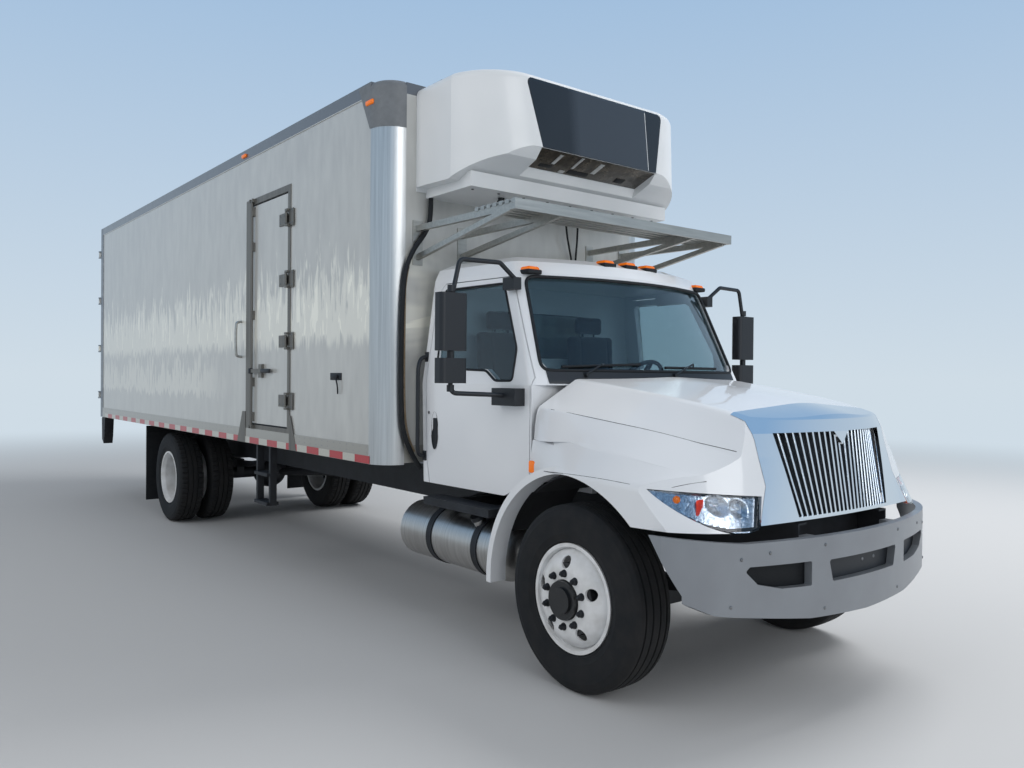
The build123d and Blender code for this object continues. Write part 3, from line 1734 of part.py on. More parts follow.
# Tuck-under lift gate, folded away below the frame: tube and plates, arms, and the folded platform
gate_x = -8050
gate_z = 610
gate_arm_y = 620
gate_arm_half = 18
gate_tube = 55
gate_hinge = (-9160, 705)
gate_platform_half = 575
gate_leaves = [             # front, rear, bottom, top
    (-8180, -9080, 630, 668),
    (-8240, -9080, 680, 718),
]
with BuildPart() as liftgate:
    with BuildSketch(across(660)):
        with Locations((gate_x, gate_z)):
            Circle(gate_tube)
    extrude(amount=1320)
    for side in (-1, 1):
        with BuildSketch(across(side * rail_outer)):
            with BuildLine():
                Polyline(
                    (gate_x - 150, rail_top - 15),
                    (gate_x + 150, rail_top - 15),
                    (gate_x + 70, gate_z - 55),
                    (gate_x - 70, gate_z - 55),
                    close=True,
                )
            make_face()
        extrude(amount=-side * 18)
        with BuildSketch(across(side * (gate_arm_y - gate_arm_half))):
            with BuildLine():
                Polyline(
                    (gate_x + 280, 560),
                    (gate_x + 280, 640),
                    (gate_x - 60, 690),
                    (gate_hinge[0] + 60, 940),
                    (gate_hinge[0] - 40, 940),
                    (gate_hinge[0] - 40, 660),
                    (-8800, 600),
                    (gate_x - 60, 555),
                    close=True,
                )
            make_face()
        extrude(amount=-side * 2 * gate_arm_half)
        with Locations((gate_hinge[0] + 10, side * (rail_outer + gate_arm_y) / 2, 880)):
            Box(60, gate_arm_y - rail_outer, 60)
    for front, rear, bottom, top in gate_leaves:
        with Locations(((front + rear) / 2, 0, (bottom + top) / 2)):
            Box(front - rear, 2 * gate_platform_half, top - bottom)
    with Locations((-9070, 0, 674)):
        Box(60, 2 * gate_platform_half, 88)
    with BuildSketch(across(601)):
        with Locations((gate_hinge[0] + 30, gate_hinge[1] - 30)):
            Circle(24)
    extrude(amount=1202)
    for y in (-400, 400):
        with Locations((-9110, y, 674)):
            Box(60, 60, 60)
save(liftgate, "liftgate")

# Rear bumper bar with its tapered corner guards
guard_half = 60
guard_y = 1190
with BuildPart() as rear_guards:
    for side in (-1, 1):
        with BuildSketch(across(side * (guard_y - guard_half))):
            with BuildLine():
                Polyline(
                    (body_rear + 60, body_bottom),
                    (body_rear - 60, body_bottom),
                    (body_rear - 130, 1060),
                    (body_rear - 110, 760),
                    (body_rear - 20, 700),
                    (body_rear + 20, 820),
                    close=True,
                )
            make_face()
        extrude(amount=-side * 2 * guard_half)
    with Locations((body_rear - 60, 0, 1074)):
        Box(120, 2 * guard_y, 28)
    for side in (-1, 1):
        with Locations(((rail_rear + body_rear) / 2, side * spring_y, 1010)):
            Box(rail_rear - body_rear, spring_width, 156)
save(rear_guards, "rear_guards")
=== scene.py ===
from itertools import product
from math import atan2, cos, exp, pi, radians, sin, sqrt

import bmesh
import bpy
from mathutils import Matrix, Vector
from mathutils.bvhtree import BVHTree


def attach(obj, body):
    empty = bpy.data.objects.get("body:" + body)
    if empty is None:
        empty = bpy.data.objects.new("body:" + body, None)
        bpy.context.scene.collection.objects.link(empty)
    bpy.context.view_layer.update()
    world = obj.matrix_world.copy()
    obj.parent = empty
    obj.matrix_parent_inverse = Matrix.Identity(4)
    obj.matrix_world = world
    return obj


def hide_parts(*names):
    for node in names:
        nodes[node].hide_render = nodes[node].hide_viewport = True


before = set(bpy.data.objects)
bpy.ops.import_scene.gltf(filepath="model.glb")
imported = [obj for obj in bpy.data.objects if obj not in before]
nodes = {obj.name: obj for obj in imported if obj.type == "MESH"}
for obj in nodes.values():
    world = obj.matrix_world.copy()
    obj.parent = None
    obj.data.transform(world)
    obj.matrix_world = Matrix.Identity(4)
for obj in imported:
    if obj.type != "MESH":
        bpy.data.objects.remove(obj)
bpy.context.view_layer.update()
scene = bpy.context.scene
frontAxle = 4.380             # station of the front axle in the frame
rearAxle = frontAxle - 6.760
sides = (("left", 1), ("right", -1))


def at(x, y, z):
    # a point given from the front axle, in metres
    return Vector((x + frontAxle, y, z))


# The photograph's viewpoint: yaw turns from +Y towards -X, then pitch, then roll
shot = dict(place=(3.350, -4.171, 1.710), yaw=51.51, pitch=-0.51, roll=0.49, lens=29.54)


def placeCamera():
    yaw, pitch, roll = (radians(shot[key]) for key in ("yaw", "pitch", "roll"))
    look = Vector((-sin(yaw) * cos(pitch), cos(yaw) * cos(pitch), sin(pitch)))
    level = Vector((cos(yaw), sin(yaw), 0))
    upright = level.cross(look)
    right = cos(roll) * level + sin(roll) * upright
    up = cos(roll) * upright - sin(roll) * level
    data = bpy.data.cameras.new("camera")
    data.lens = shot["lens"]
    data.sensor_width = 36
    data.clip_end = 400
    camera = bpy.data.objects.new("camera", data)
    turn = Matrix((right, up, -look)).transposed()
    camera.matrix_world = Matrix.Translation(at(*shot["place"])) @ turn.to_4x4()
    scene.collection.objects.link(camera)
    scene.camera = camera


placeCamera()
print("camera placed")

# Materials
millimetre = 0.001


def hexColour(code):
    # sRGB hex to linear
    parts = [int(code[i:i + 2], 16) / 255 for i in (1, 3, 5)]
    return (*[p / 12.92 if p <= 0.04045 else ((p + 0.055) / 1.055) ** 2.4 for p in parts], 1)


def addNode(tree, kind, settings=None, links=None):
    # a link is an output or a node, whose first output it then is; a ramp is its stops with their colours
    node = tree.nodes.new(kind)
    for key, value in (settings or {}).items():
        if key == "ramp":
            for stop, (position, code) in zip(node.color_ramp.elements, value):
                stop.position, stop.color = position, hexColour(code)
        elif isinstance(key, str) and hasattr(node, key):
            setattr(node, key, value)
        else:
            node.inputs[key].default_value = value
    for key, source in (links or {}).items():
        tree.links.new(getattr(source, "outputs", [source])[0], node.inputs[key])
    return node


def newFinish(name, settings):
    finish = bpy.data.materials.new(name)
    finish.use_nodes = True
    finish.node_tree.nodes.clear()
    shader = addNode(finish.node_tree, "ShaderNodeBsdfPrincipled", settings)
    addNode(finish.node_tree, "ShaderNodeOutputMaterial", {}, {"Surface": shader})
    return finish


def insides(finish):
    tree = finish.node_tree
    return tree, tree.nodes["Principled BSDF"], addNode(tree, "ShaderNodeTexCoord").outputs["Object"]


def patterned(name, settings, dark, light, grain, stretch=(1, 1, 1), bump=0.0, rough=None, detail=4):
    # a finish whose colour, bump and gloss follow one noise; grain is the size of its spots in millimetres
    finish = newFinish(name, settings)
    tree, shader, place = insides(finish)
    size = 1 / (grain * millimetre)
    spread = addNode(tree, "ShaderNodeMapping", {"Scale": [size * s for s in stretch]}, {"Vector": place})
    noise = addNode(tree, "ShaderNodeTexNoise", {"Scale": 1.0, "Detail": detail, "Roughness": 0.6},
                    {"Vector": spread})
    tint = addNode(tree, "ShaderNodeValToRGB", {"ramp": ((0.3, dark), (0.7, light))}, {"Fac": noise})
    tree.links.new(tint.outputs[0], shader.inputs["Base Color"])
    if bump:
        relief = addNode(tree, "ShaderNodeBump", {"Strength": 1.0, "Distance": bump * millimetre},
                         {"Height": noise})
        tree.links.new(relief.outputs[0], shader.inputs["Normal"])
    if rough:
        gloss = addNode(tree, "ShaderNodeMapRange", {"To Min": rough[0], "To Max": rough[1]},
                        {"Value": noise})
        tree.links.new(gloss.outputs[0], shader.inputs["Roughness"])
    return finish


# two-pack white enamel on the cab and hood: glossy coat over a nearly even colour, faint orange peel
cabEnamel = patterned(
    "cab_enamel", {"Roughness": 0.35, "Coat Weight": 0.7, "Coat Roughness": 0.05},
    "#DFE2E6", "#E9EBEE", grain=900, bump=1.2, detail=2)
# prefinished aluminium sheet of the body: silvery white and wavy, with painted reflections low on it as
#  bright bands and glints, its top and bottom rails left as dull extrusion
bodySheet = patterned(
    "body_sheet", {"Metallic": 0.15, "Coat Weight": 0.5, "Coat Roughness": 0.08},
    "#B6B6B3", "#C3C3BF", grain=110, stretch=(1, 1, 0.3), bump=1.1, detail=2, rough=(0.26, 0.38))
bodyRails = dict(low=1.222, high=3.668, lowColour="#9C9A93", highColour="#5F6369")
# painted reflections: bright bands and glints mixed into the sheet's colour, standing in for the surroundings
# mirrored in it
paintedReflections = {                   # low and high edge, how softly it fades, strength
    "upper": (2.02, 2.30, 0.24, 0.62),
    "lower": (1.52, 1.72, 0.10, 0.42),
    "glints": (1.98, 2.16, 0.05, 1.0),
}
# look of the painted reflections: colour, noise size, raggedness, calm lower edges, where the lower band
# ends, where glints show
reflectionLook = dict(colour="#F4F2E6", width=60, height=330, ragged=1.5, calm=0.25, rearward=(-4.4, -5.8),
                  brightest=(0.56, 0.62))


# the sheet's colour with painted reflections mixed in as ragged bright bands and glints, then the duller
# rails
def addRailsAndReflections(finish):
    tree, shader, place = insides(finish)
    plain = shader.inputs["Base Color"].links[0].from_socket
    x, _, z = addNode(tree, "ShaderNodeSeparateXYZ", {}, {0: place}).outputs
    spread = addNode(tree, "ShaderNodeMapping", {"Scale": (1 / (reflectionLook["width"] * millimetre), 1,
                                                           1 / (reflectionLook["height"] * millimetre))},
                     {"Vector": place})
    ripple = addNode(tree, "ShaderNodeTexNoise",
                     {"Scale": 1.0, "Detail": 3, "Roughness": 0.55, "Distortion": 0.6}, {"Vector": spread})
    ragged = reflectionLook["ragged"]
    shift = addNode(tree, "ShaderNodeMath", {"operation": "MULTIPLY_ADD", 1: -ragged, 2: ragged / 2},
                    {0: ripple})
    upper = addNode(tree, "ShaderNodeMath", {"operation": "ADD"}, {0: z, 1: shift})
    calm = addNode(tree, "ShaderNodeMath", {"operation": "MULTIPLY_ADD", 1: reflectionLook["calm"]},
                   {0: shift, 2: z})
    smooth = {"interpolation_type": "SMOOTHSTEP"}
    share = None
    for name, (low, high, fade, strength) in paintedReflections.items():
        band = addNode(tree, "ShaderNodeMapRange", {**smooth, 1: low - fade / 2, 2: low, 4: strength},
                       {0: calm})
        band = addNode(tree, "ShaderNodeMapRange", {**smooth, 1: high + fade, 2: high}, {0: upper, 4: band})
        if name == "lower":
            front, rear = (at(station, 0, 0).x for station in reflectionLook["rearward"])
            band = addNode(tree, "ShaderNodeMapRange", {**smooth, 1: front, 2: rear}, {0: x, 4: band})
        if name == "glints":
            dim, bright = reflectionLook["brightest"]
            band = addNode(tree, "ShaderNodeMapRange", {**smooth, 1: dim, 2: bright}, {0: ripple, 4: band})
        share = band if share is None else addNode(tree, "ShaderNodeMath", {"operation": "MAXIMUM"},
                                                   {0: share, 1: band})
    colour = addNode(tree, "ShaderNodeMix", {"data_type": "RGBA", 7: hexColour(reflectionLook["colour"])},
                     {0: share, 6: plain})
    for side, test in (("low", "LESS_THAN"), ("high", "GREATER_THAN")):
        rail = addNode(tree, "ShaderNodeMath", {"operation": test, 1: bodyRails[side]}, {0: z})
        paint = {"data_type": "RGBA", 7: hexColour(bodyRails[side + "Colour"])}
        colour = addNode(tree, "ShaderNodeMix", paint, {0: rail, 6: colour.outputs[2]})
    tree.links.new(colour.outputs[2], shader.inputs["Base Color"])


addRailsAndReflections(bodySheet)
# mill-finish aluminium extrusions: grey, with drawn streaks along them
railExtrusion = patterned(
    "rail_extrusion", {"Metallic": 0.9}, "#85888C", "#9DA0A4", grain=40, stretch=(0.05, 1, 1),
    rough=(0.36, 0.52))
# extrusion of the side door's frame and hardware: weathered to bronze
doorFrameMetal = patterned(
    "door_frame_metal", {"Metallic": 0.7}, "#6D6A65", "#85817A", grain=40, stretch=(1, 1, 0.05),
    rough=(0.4, 0.55))
# brushed aluminium corner posts: bright, with upright brushing
brushedPost = patterned(
    "brushed_post", {"Metallic": 1.0}, "#B9B9B8", "#D2D2D0", grain=18, stretch=(1, 1, 0.02),
    bump=0.1, rough=(0.34, 0.46))
# moulded caps of the roof's corners: weathered grey plastic
cappingPlastic = patterned(
    "capping_plastic", {"Roughness": 0.55}, "#6B6E71", "#787B7E", grain=60, bump=0.2)
# chromed plastic of the grille: sharp mirror
grilleChrome = newFinish(
    "grille_chrome", {"Base Color": hexColour("#E6E9EC"), "Metallic": 1.0, "Roughness": 0.07})
# silver-grey paint of the bumper: soft gloss
bumperPaint = patterned(
    "bumper_paint", {"Metallic": 0.35, "Coat Weight": 0.3, "Coat Roughness": 0.2},
    "#84878C", "#8B8F94", grain=260, bump=0.3, detail=2, rough=(0.36, 0.44))
# black chassis paint: dull, dusty
chassisPaint = patterned(
    "chassis_paint", {"Roughness": 0.6}, "#141518", "#23252A", grain=140, bump=0.4)
# textured black polypropylene of mirrors and trim
trimPlastic = patterned(
    "trim_plastic", {"Roughness": 0.5}, "#15171B", "#1E2126", grain=5, bump=0.25)
# rubber seals: plain black, soft
sealRubber = patterned("seal_rubber", {"Roughness": 0.7}, "#0D0E10", "#17181B", grain=12, bump=0.2)
# tyre compound: black with a brown-grey bloom
tyreCompound = patterned(
    "tyre_compound", {"Roughness": 0.85}, "#141415", "#211F1E", grain=90, bump=0.5)
# glossy charcoal cover of the cooling unit, with a slightly paler panel in its middle
unitCover = patterned(
    "unit_cover", {"Roughness": 0.18, "Coat Weight": 0.3, "Coat Roughness": 0.04},
    "#131314", "#19191B", grain=500, bump=0.6, detail=2)
unitPanel = dict(low=-0.300, high=0.470, colour="#34383E")


def addPanel(finish):
    tree, shader, place = insides(finish)
    plain = shader.inputs["Base Color"].links[0].from_socket
    _, y, _ = addNode(tree, "ShaderNodeSeparateXYZ", {}, {0: place}).outputs
    past = addNode(tree, "ShaderNodeMapRange", {1: unitPanel["low"], 2: unitPanel["low"] + 0.10}, {0: y})
    short = addNode(tree, "ShaderNodeMath", {"operation": "LESS_THAN", 1: unitPanel["high"]}, {0: y})
    share = addNode(tree, "ShaderNodeMath", {"operation": "MULTIPLY"}, {0: past, 1: short})
    mixed = addNode(tree, "ShaderNodeMix", {"data_type": "RGBA", 7: hexColour(unitPanel["colour"])},
                    {0: share, 6: plain})
    tree.links.new(mixed.outputs[2], shader.inputs["Base Color"])


addPanel(unitCover)
# white moulded shell of the cooling unit
unitShell = patterned(
    "unit_shell", {"Roughness": 0.38, "Coat Weight": 0.25, "Coat Roughness": 0.15},
    "#DCDEDF", "#E8E9EA", grain=700, bump=0.8, detail=2)
# anodised aluminium of the catwalk, ladder and hardware
anodised = patterned(
    "anodised_aluminium", {"Metallic": 0.95}, "#A4A39E", "#BBB9B3", grain=22, stretch=(1, 0.06, 1),
    rough=(0.34, 0.48))
# bright fuel tank: spun aluminium, brushed round its length
tankAluminium = patterned(
    "tank_aluminium", {"Metallic": 1.0}, "#AAA8A5", "#C9C7C4", grain=14, stretch=(1, 0.04, 0.04),
    bump=0.1, rough=(0.26, 0.40))
# galvanised and bare steel of the exhaust and small fittings
bareSteel = patterned("bare_steel", {"Metallic": 0.9}, "#6F6F70", "#8C8C8C", grain=30,
                      rough=(0.35, 0.55))
# cast engine block
castIron = patterned("cast_iron", {"Metallic": 0.5, "Roughness": 0.7}, "#2A2B2D", "#3A3B3E", grain=25,
                     bump=0.6)
# seat cloth: woven, dark grey
seatCloth = patterned("seat_cloth", {"Roughness": 0.95, "Sheen Weight": 0.3}, "#26272B", "#36383D",
                      grain=4, bump=0.5)
# dashboard skin: grained grey plastic
dashSkin = patterned("dash_skin", {"Roughness": 0.65}, "#2D3034", "#383B40", grain=6, bump=0.3)
# mud flaps and hose covers
flapRubber = patterned("flap_rubber", {"Roughness": 0.75}, "#101113", "#1C1D1F", grain=50, bump=0.4)

# laminated cab glass: clear, with a cool tint
cabGlass = newFinish(
    "cab_glass", {"Base Color": hexColour("#B4C6CA"), "Roughness": 0.0, "Transmission Weight": 1.0,
                  "IOR": 1.45})
# polycarbonate headlamp lens
lampLens = newFinish(
    "lamp_lens", {"Base Color": hexColour("#F4F7FA"), "Roughness": 0.02, "Transmission Weight": 1.0,
                  "IOR": 1.35})
# vacuum-metallised lamp bowls
lampBowl = patterned(
    "lamp_bowl", {"Metallic": 1.0}, "#7E848B", "#C9CCD0", grain=14, bump=1.6, rough=(0.05, 0.12))


def lensFinish(name, code, rough, glow):
    # acrylic lens that glows faintly in its own colour, as if daylight came back out of it
    tint = hexColour(code)
    return newFinish(name, {"Base Color": tint, "Roughness": rough, "Emission Color": tint,
                            "Emission Strength": glow})


# amber and red marker lenses, and the orange-red reflex lens of the headlamp
amberLens = lensFinish("amber_lens", "#E8720C", 0.18, 0.25)
redLens = lensFinish("red_lens", "#A5121A", 0.18, 0.1)
reflexLens = lensFinish("reflex_lens", "#D8341A", 0.22, 0.25)
# prismatic reflective tape, red and white
redTape = patterned("red_tape", {"Roughness": 0.35, "Coat Weight": 0.4}, "#A81E26", "#B8262E", grain=5)
whiteTape = patterned("white_tape", {"Roughness": 0.35, "Coat Weight": 0.4}, "#B4B3AA", "#C6C5BC", grain=5)
# formed metal of the cooling unit's intake: bronze, polished enough to glint; its paler patches are partly
# the metal's own uneven tone and partly painted reflection of the parts inside the unit
intakeMetal = patterned("intake_metal", {"Metallic": 0.7}, "#2E2A25", "#5E564B", grain=70,
                        stretch=(1, 1, 1), bump=1.5, rough=(0.18, 0.34))
# tan vinyl of the drain tube
tanVinyl = patterned("tan_vinyl", {"Roughness": 0.55}, "#7C6A52", "#94806A", grain=30)
# mirror glass
mirrorGlass = newFinish(
    "mirror_glass", {"Base Color": hexColour("#DCE1E4"), "Metallic": 1.0, "Roughness": 0.02})
# white enamel of the wheels, grimy in places; the hub and the drum inside stay dark castings
wheelPaint = dict(pale="#E6E7E8", grimy="#CFCFCE", cast="#191A1C", hub=0.1073, drum=0.199, grime=120)


def wheelEnamel(name, station, drumLimit):
    # hub and drum are told from the disc by their reach from the axle and the drum limit in Y
    finish = newFinish(name, {"Roughness": 0.32, "Coat Weight": 0.3, "Coat Roughness": 0.1})
    tree, shader, place = insides(finish)
    centred = addNode(tree, "ShaderNodeMapping", {"Location": (-station, 0, -0.510)}, {"Vector": place})
    x, y, z = addNode(tree, "ShaderNodeSeparateXYZ", {}, {0: centred}).outputs
    flat = addNode(tree, "ShaderNodeCombineXYZ", {}, {"X": x, "Z": z})
    reach = addNode(tree, "ShaderNodeVectorMath", {"operation": "LENGTH"}, {0: flat}).outputs["Value"]
    side = addNode(tree, "ShaderNodeMath", {"operation": "ABSOLUTE"}, {0: y})
    hub, drum = (addNode(tree, "ShaderNodeMath", {"operation": "LESS_THAN", 1: wheelPaint[key]}, {0: reach})
                 for key in ("hub", "drum"))
    inside = addNode(tree, "ShaderNodeMath", {"operation": "LESS_THAN", 1: drumLimit}, {0: side})
    cast = addNode(tree, "ShaderNodeMath", {"operation": "MULTIPLY"}, {0: drum, 1: inside})
    dark = addNode(tree, "ShaderNodeMath", {"operation": "MAXIMUM"}, {0: hub, 1: cast})
    grime = addNode(tree, "ShaderNodeTexNoise",
                    {"Scale": 1 / (wheelPaint["grime"] * millimetre), "Detail": 5}, {"Vector": place})
    tint = addNode(tree, "ShaderNodeValToRGB",
                   {"ramp": ((0.35, wheelPaint["grimy"]), (0.6, wheelPaint["pale"]))}, {"Fac": grime})
    mixed = addNode(tree, "ShaderNodeMix", {"data_type": "RGBA", 7: hexColour(wheelPaint["cast"])},
                    {0: dark, 6: tint})
    tree.links.new(mixed.outputs[2], shader.inputs["Base Color"])
    return finish


frontWheelEnamel = wheelEnamel("front_wheel_enamel", frontAxle, 1.119)
rearWheelEnamel = wheelEnamel("rear_wheel_enamel", rearAxle, 0.912)

nodeFinishes = {
    cabEnamel: ["cab_shell", "hood", "cab_door_left", "cab_door_right"],
    bodySheet: ["box_side_left", "box_side_right", "box_front", "box_roof", "side_door",
                "rear_door_left", "rear_door_right"],
    brushedPost: ["corner_posts"],
    railExtrusion: ["rear_frame", "rear_hinge_lugs", "box_floor"],
    doorFrameMetal: ["side_door_frame", "side_door_hardware"],
    cappingPlastic: ["corner_caps"],
    grilleChrome: ["grille"],
    bumperPaint: ["bumper"],
    chassisPaint: ["frame", "suspension", "tank_mounts", "battery_box", "radiator", "liftgate",
                   "rear_guards", "knuckle_left", "knuckle_right", "tie_rod", "side_ladder",
                   "wheel_liners", "splash_guards"],
    trimPlastic: ["mirror_left", "mirror_right"],
    unitCover: ["reefer_face"],
    unitShell: ["reefer_shell"],
    anodised: ["catwalk"],
    tankAluminium: ["fuel_tank"],
    bareSteel: ["exhaust"],
    castIron: ["engine"],
    seatCloth: ["seats"],
    dashSkin: ["dashboard"],
    flapRubber: ["hoses", "mudflaps"],
    cabGlass: ["cab_glass", "door_glass_left", "door_glass_right"],
    lampLens: ["headlamps"],
    amberLens: ["lamps"],
    frontWheelEnamel: ["rim_front_left", "rim_front_right"],
    rearWheelEnamel: ["rims_rear_left", "rims_rear_right"],
    tyreCompound: ["tyre_front_left", "tyre_front_right", "tyres_rear_left", "tyres_rear_right"],
}
for finish, names in nodeFinishes.items():
    for name in names:
        slots = nodes[name].data.materials
        slots.clear()
        slots.append(finish)
print("materials made")

# Shaping helpers


def showPiece(name, data, body):
    piece = bpy.data.objects.new(name, data)
    scene.collection.objects.link(piece)
    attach(piece, body)
    return piece


def finishPiece(bm, name, finishes, body, sharp=30):
    bmesh.ops.recalc_face_normals(bm, faces=bm.faces)
    mesh = bpy.data.meshes.new(name)
    bm.to_mesh(mesh)
    bm.free()
    mesh.shade_smooth()
    mesh.set_sharp_from_angle(angle=radians(sharp))
    for finish in finishes if isinstance(finishes, list) else [finishes]:
        mesh.materials.append(finish)
    return showPiece(name, mesh, body)


def addBlock(bm, low, high, bevel=0.0, turn=None, finish=0, segments=2):
    low, high = Vector(low), Vector(high)
    size = high - low
    shape = Matrix.Translation((low + high) / 2) @ (turn or Matrix.Identity(4)) @ Matrix.Diagonal((*size, 1))
    made = bmesh.ops.create_cube(bm, size=1, matrix=shape)
    edges = list({edge for vert in made["verts"] for edge in vert.link_edges})
    for face in {face for vert in made["verts"] for face in vert.link_faces}:
        face.material_index = finish
    if bevel:
        bmesh.ops.bevel(bm, geom=edges, offset=bevel, segments=segments, profile=0.5, affect="EDGES",
                        material=-1, clamp_overlap=True)


def addRod(bm, start, end, radius, endRadius=None, sides=20):
    start, end = Vector(start), Vector(end)
    along = end - start
    turn = along.to_track_quat("Z", "Y").to_matrix().to_4x4()
    bmesh.ops.create_cone(
        bm, cap_ends=True, segments=sides, radius1=radius, radius2=radius if endRadius is None else endRadius,
        depth=along.length, matrix=Matrix.Translation((start + end) / 2) @ turn)


def addDome(bm, centre, radius, flat=0.5, outward=(0, 0, 1), sides=10):
    # a rivet or bolt head: a ball squashed along its outward direction
    turn = Vector(outward).to_track_quat("Z", "Y").to_matrix().to_4x4()
    bmesh.ops.create_uvsphere(bm, u_segments=sides, v_segments=6, radius=radius,
                              matrix=Matrix.Translation(centre) @ turn @ Matrix.Diagonal((1, 1, flat, 1)))


def mirrored(bm, sign, low, high, bevel, segments=3):
    # a block given from the front axle for the left side; the sign puts it on either side
    near, far = sorted((sign * low[1], sign * high[1]))
    addBlock(bm, at(low[0], near, low[2]), at(high[0], far, high[2]), bevel, segments=segments)


def addTube(name, points, radius, finish, body, closed=False, fine=False):
    # a bent rod, bead or hose along a smooth line
    data = bpy.data.curves.new(name, "CURVE")
    data.dimensions = "3D"
    data.bevel_depth = radius
    data.bevel_resolution, data.resolution_u = (5, 16) if fine else (3, 6)
    data.use_fill_caps = True
    line = data.splines.new("NURBS")
    line.points.add(len(points) - 1)
    for point, place in zip(line.points, points):
        point.co = (*place, 1)
    line.order_u = 3
    line.use_endpoint_u = not closed
    line.use_cyclic_u = closed
    data.materials.append(finish)
    return showPiece(name, data, body)


def surfaceOf(*names):
    # what rays can meet on some nodes of the frame
    graph = bpy.context.evaluated_depsgraph_get()
    return [BVHTree.FromObject(nodes[name], graph) for name in names]


def dropOn(trees, origin, direction, lift=0.0):
    # the first point that a ray meets, lifted off the surface; nothing met gives None
    best = None
    for tree in trees:
        place, normal, _, distance = tree.ray_cast(origin, Vector(direction).normalized())
        if place is not None and (best is None or distance < best[2]):
            best = (place, normal, distance)
    if best is None:
        return None
    normal = best[1] if best[1].dot(Vector(direction)) < 0 else -best[1]
    return best[0] + normal * lift


def fromAhead(trees, y, z, lift=0.0):
    return dropOn(trees, at(2.0, y, z), (-1, 0, 0), lift)


def fromSide(trees, x, sign, z):
    return dropOn(trees, at(x, sign * 2, z), (0, -sign, 0))


# Hoses from the cooling unit down the front wall: a thick refrigerant hose with a drain tube beside it, and
# two wiring hoses above the cab
wallHoses = {                 # diameter, length, finish and the points that each one follows from its top
    "refrigerant_hose": (0.034, 1.99, flapRubber, [
        (-1.663, -0.930, 2.962), (-1.663, -0.930, 2.850), (-1.663, -0.950, 2.740), (-1.663, -1.110, 2.540),
        (-1.663, -1.160, 2.300), (-1.663, -1.165, 1.560), (-1.663, -1.140, 1.240), (-1.663, -1.000, 1.060)]),
    "drain_tube": (0.014, 1.30, tanVinyl, [
        (-1.678, -1.098, 2.470), (-1.679, -1.120, 2.380), (-1.680, -1.126, 2.250), (-1.680, -1.128, 1.560),
        (-1.680, -1.105, 1.290), (-1.680, -1.040, 1.180)]),
    "wiring_hose_right": (0.016, 0.55, flapRubber, [
        (-1.640, 0.330, 2.975), (-1.630, 0.330, 2.860), (-1.640, 0.370, 2.740), (-1.670, 0.430, 2.620),
        (-1.683, 0.440, 2.480)]),
    "wiring_hose_left": (0.016, 0.51, flapRubber, [
        (-1.650, 0.470, 2.975), (-1.650, 0.468, 2.850), (-1.665, 0.466, 2.700), (-1.680, 0.468, 2.560),
        (-1.684, 0.470, 2.470)]),
}
for name, (diameter, length, finish, points) in wallHoses.items():
    points = [at(*point) for point in points]
    hose = addTube(name, points, diameter / 2, finish, "chassis", fine=True)
    if name == "refrigerant_hose":
        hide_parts("hoses")
print("hoses laid")

# Tyres: bead, sidewall with its rings, and a ribbed tread; the drive tyres have cross grooves too
tyre = dict(radius=0.510, bead=0.2865, grooveDepth=0.013, grooveHalf=0.0055, steps=216,
            frontGrooves=(-0.076, -0.027, 0.027, 0.076), rearGrooves=(-0.052, 0.0, 0.052), lugPitch=4)


def tyreProfile(grooves):
    # half section as (radius, offset from the middle), from the inner bead over the tread to the outer one
    side = [(tyre["bead"], 0.104), (0.2995, 0.107), (0.3065, 0.121), (0.311, 0.1245), (0.316, 0.1235),
            (0.345, 0.1318), (0.349, 0.1335), (0.353, 0.1332), (0.385, 0.1368), (0.420, 0.1368),
            (0.446, 0.1335), (0.449, 0.1338), (0.453, 0.1322), (0.470, 0.1275), (0.4815, 0.1235),
            (0.4835, 0.1215), (0.499, 0.1120), (0.5035, 0.1070), (0.5062, 0.1000)]
    tread = []
    for middle in grooves:
        crown = tyre["radius"] - 0.0038 * (middle / 0.1) ** 2
        tread += [(crown, middle - tyre["grooveHalf"] - 0.001),
                  (crown - tyre["grooveDepth"], middle - tyre["grooveHalf"] + 0.0015),
                  (crown - tyre["grooveDepth"], middle + tyre["grooveHalf"] - 0.0015),
                  (crown, middle + tyre["grooveHalf"] + 0.001)]
    return [(r, -o) for r, o in side] + tread + [(r, o) for r, o in reversed(side)]


def addTyre(bm, station, middle, grooves, lugs):
    centre = Vector((station, 0, tyre["radius"]))
    rim = [bm.verts.new(centre + Vector((0, middle + offset, radius)))
           for radius, offset in tyreProfile(grooves)]
    edges = [bm.edges.new((a, b)) for a, b in zip(rim, rim[1:] + rim[:1])]
    bmesh.ops.spin(bm, geom=rim + edges, cent=centre, axis=(0, 1, 0), angle=2 * pi, steps=tyre["steps"],
                   use_merge=True)
    if lugs:
        edgeRib = grooves[-1] + tyre["grooveHalf"]
        for vert in bm.verts:
            spot = vert.co - centre
            offset = abs(spot.y - middle)
            reach = sqrt(spot.x ** 2 + spot.z ** 2)
            turn = round(atan2(spot.x, spot.z) / (2 * pi) * tyre["steps"]) % tyre["lugPitch"]
            if offset > edgeRib and reach > 0.494 and offset < 0.126 and turn == 0:
                inward = Vector((spot.x, 0, spot.z)).normalized() * tyre["grooveDepth"]
                vert.co -= inward * (0.6 if reach < 0.501 else 1)


for side, sign in sides:
    for end, body, station, middles, grooves, lugs in (
            ("tyre_tread_front", "front_wheel", frontAxle, (0.965,), tyre["frontGrooves"], False),
            ("tyre_tread_rear", "rear_wheels", rearAxle, (0.754, 1.096), tyre["rearGrooves"], True)):
        bm = bmesh.new()
        for middle in middles:
            addTyre(bm, station, sign * middle, grooves, lugs)
        piece = finishPiece(bm, f"{end}_{side}", tyreCompound, f"{body}_{side}", 24)
        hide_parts(f"tyres_rear_{side}" if lugs else f"tyre_front_{side}")
print("tyres made")
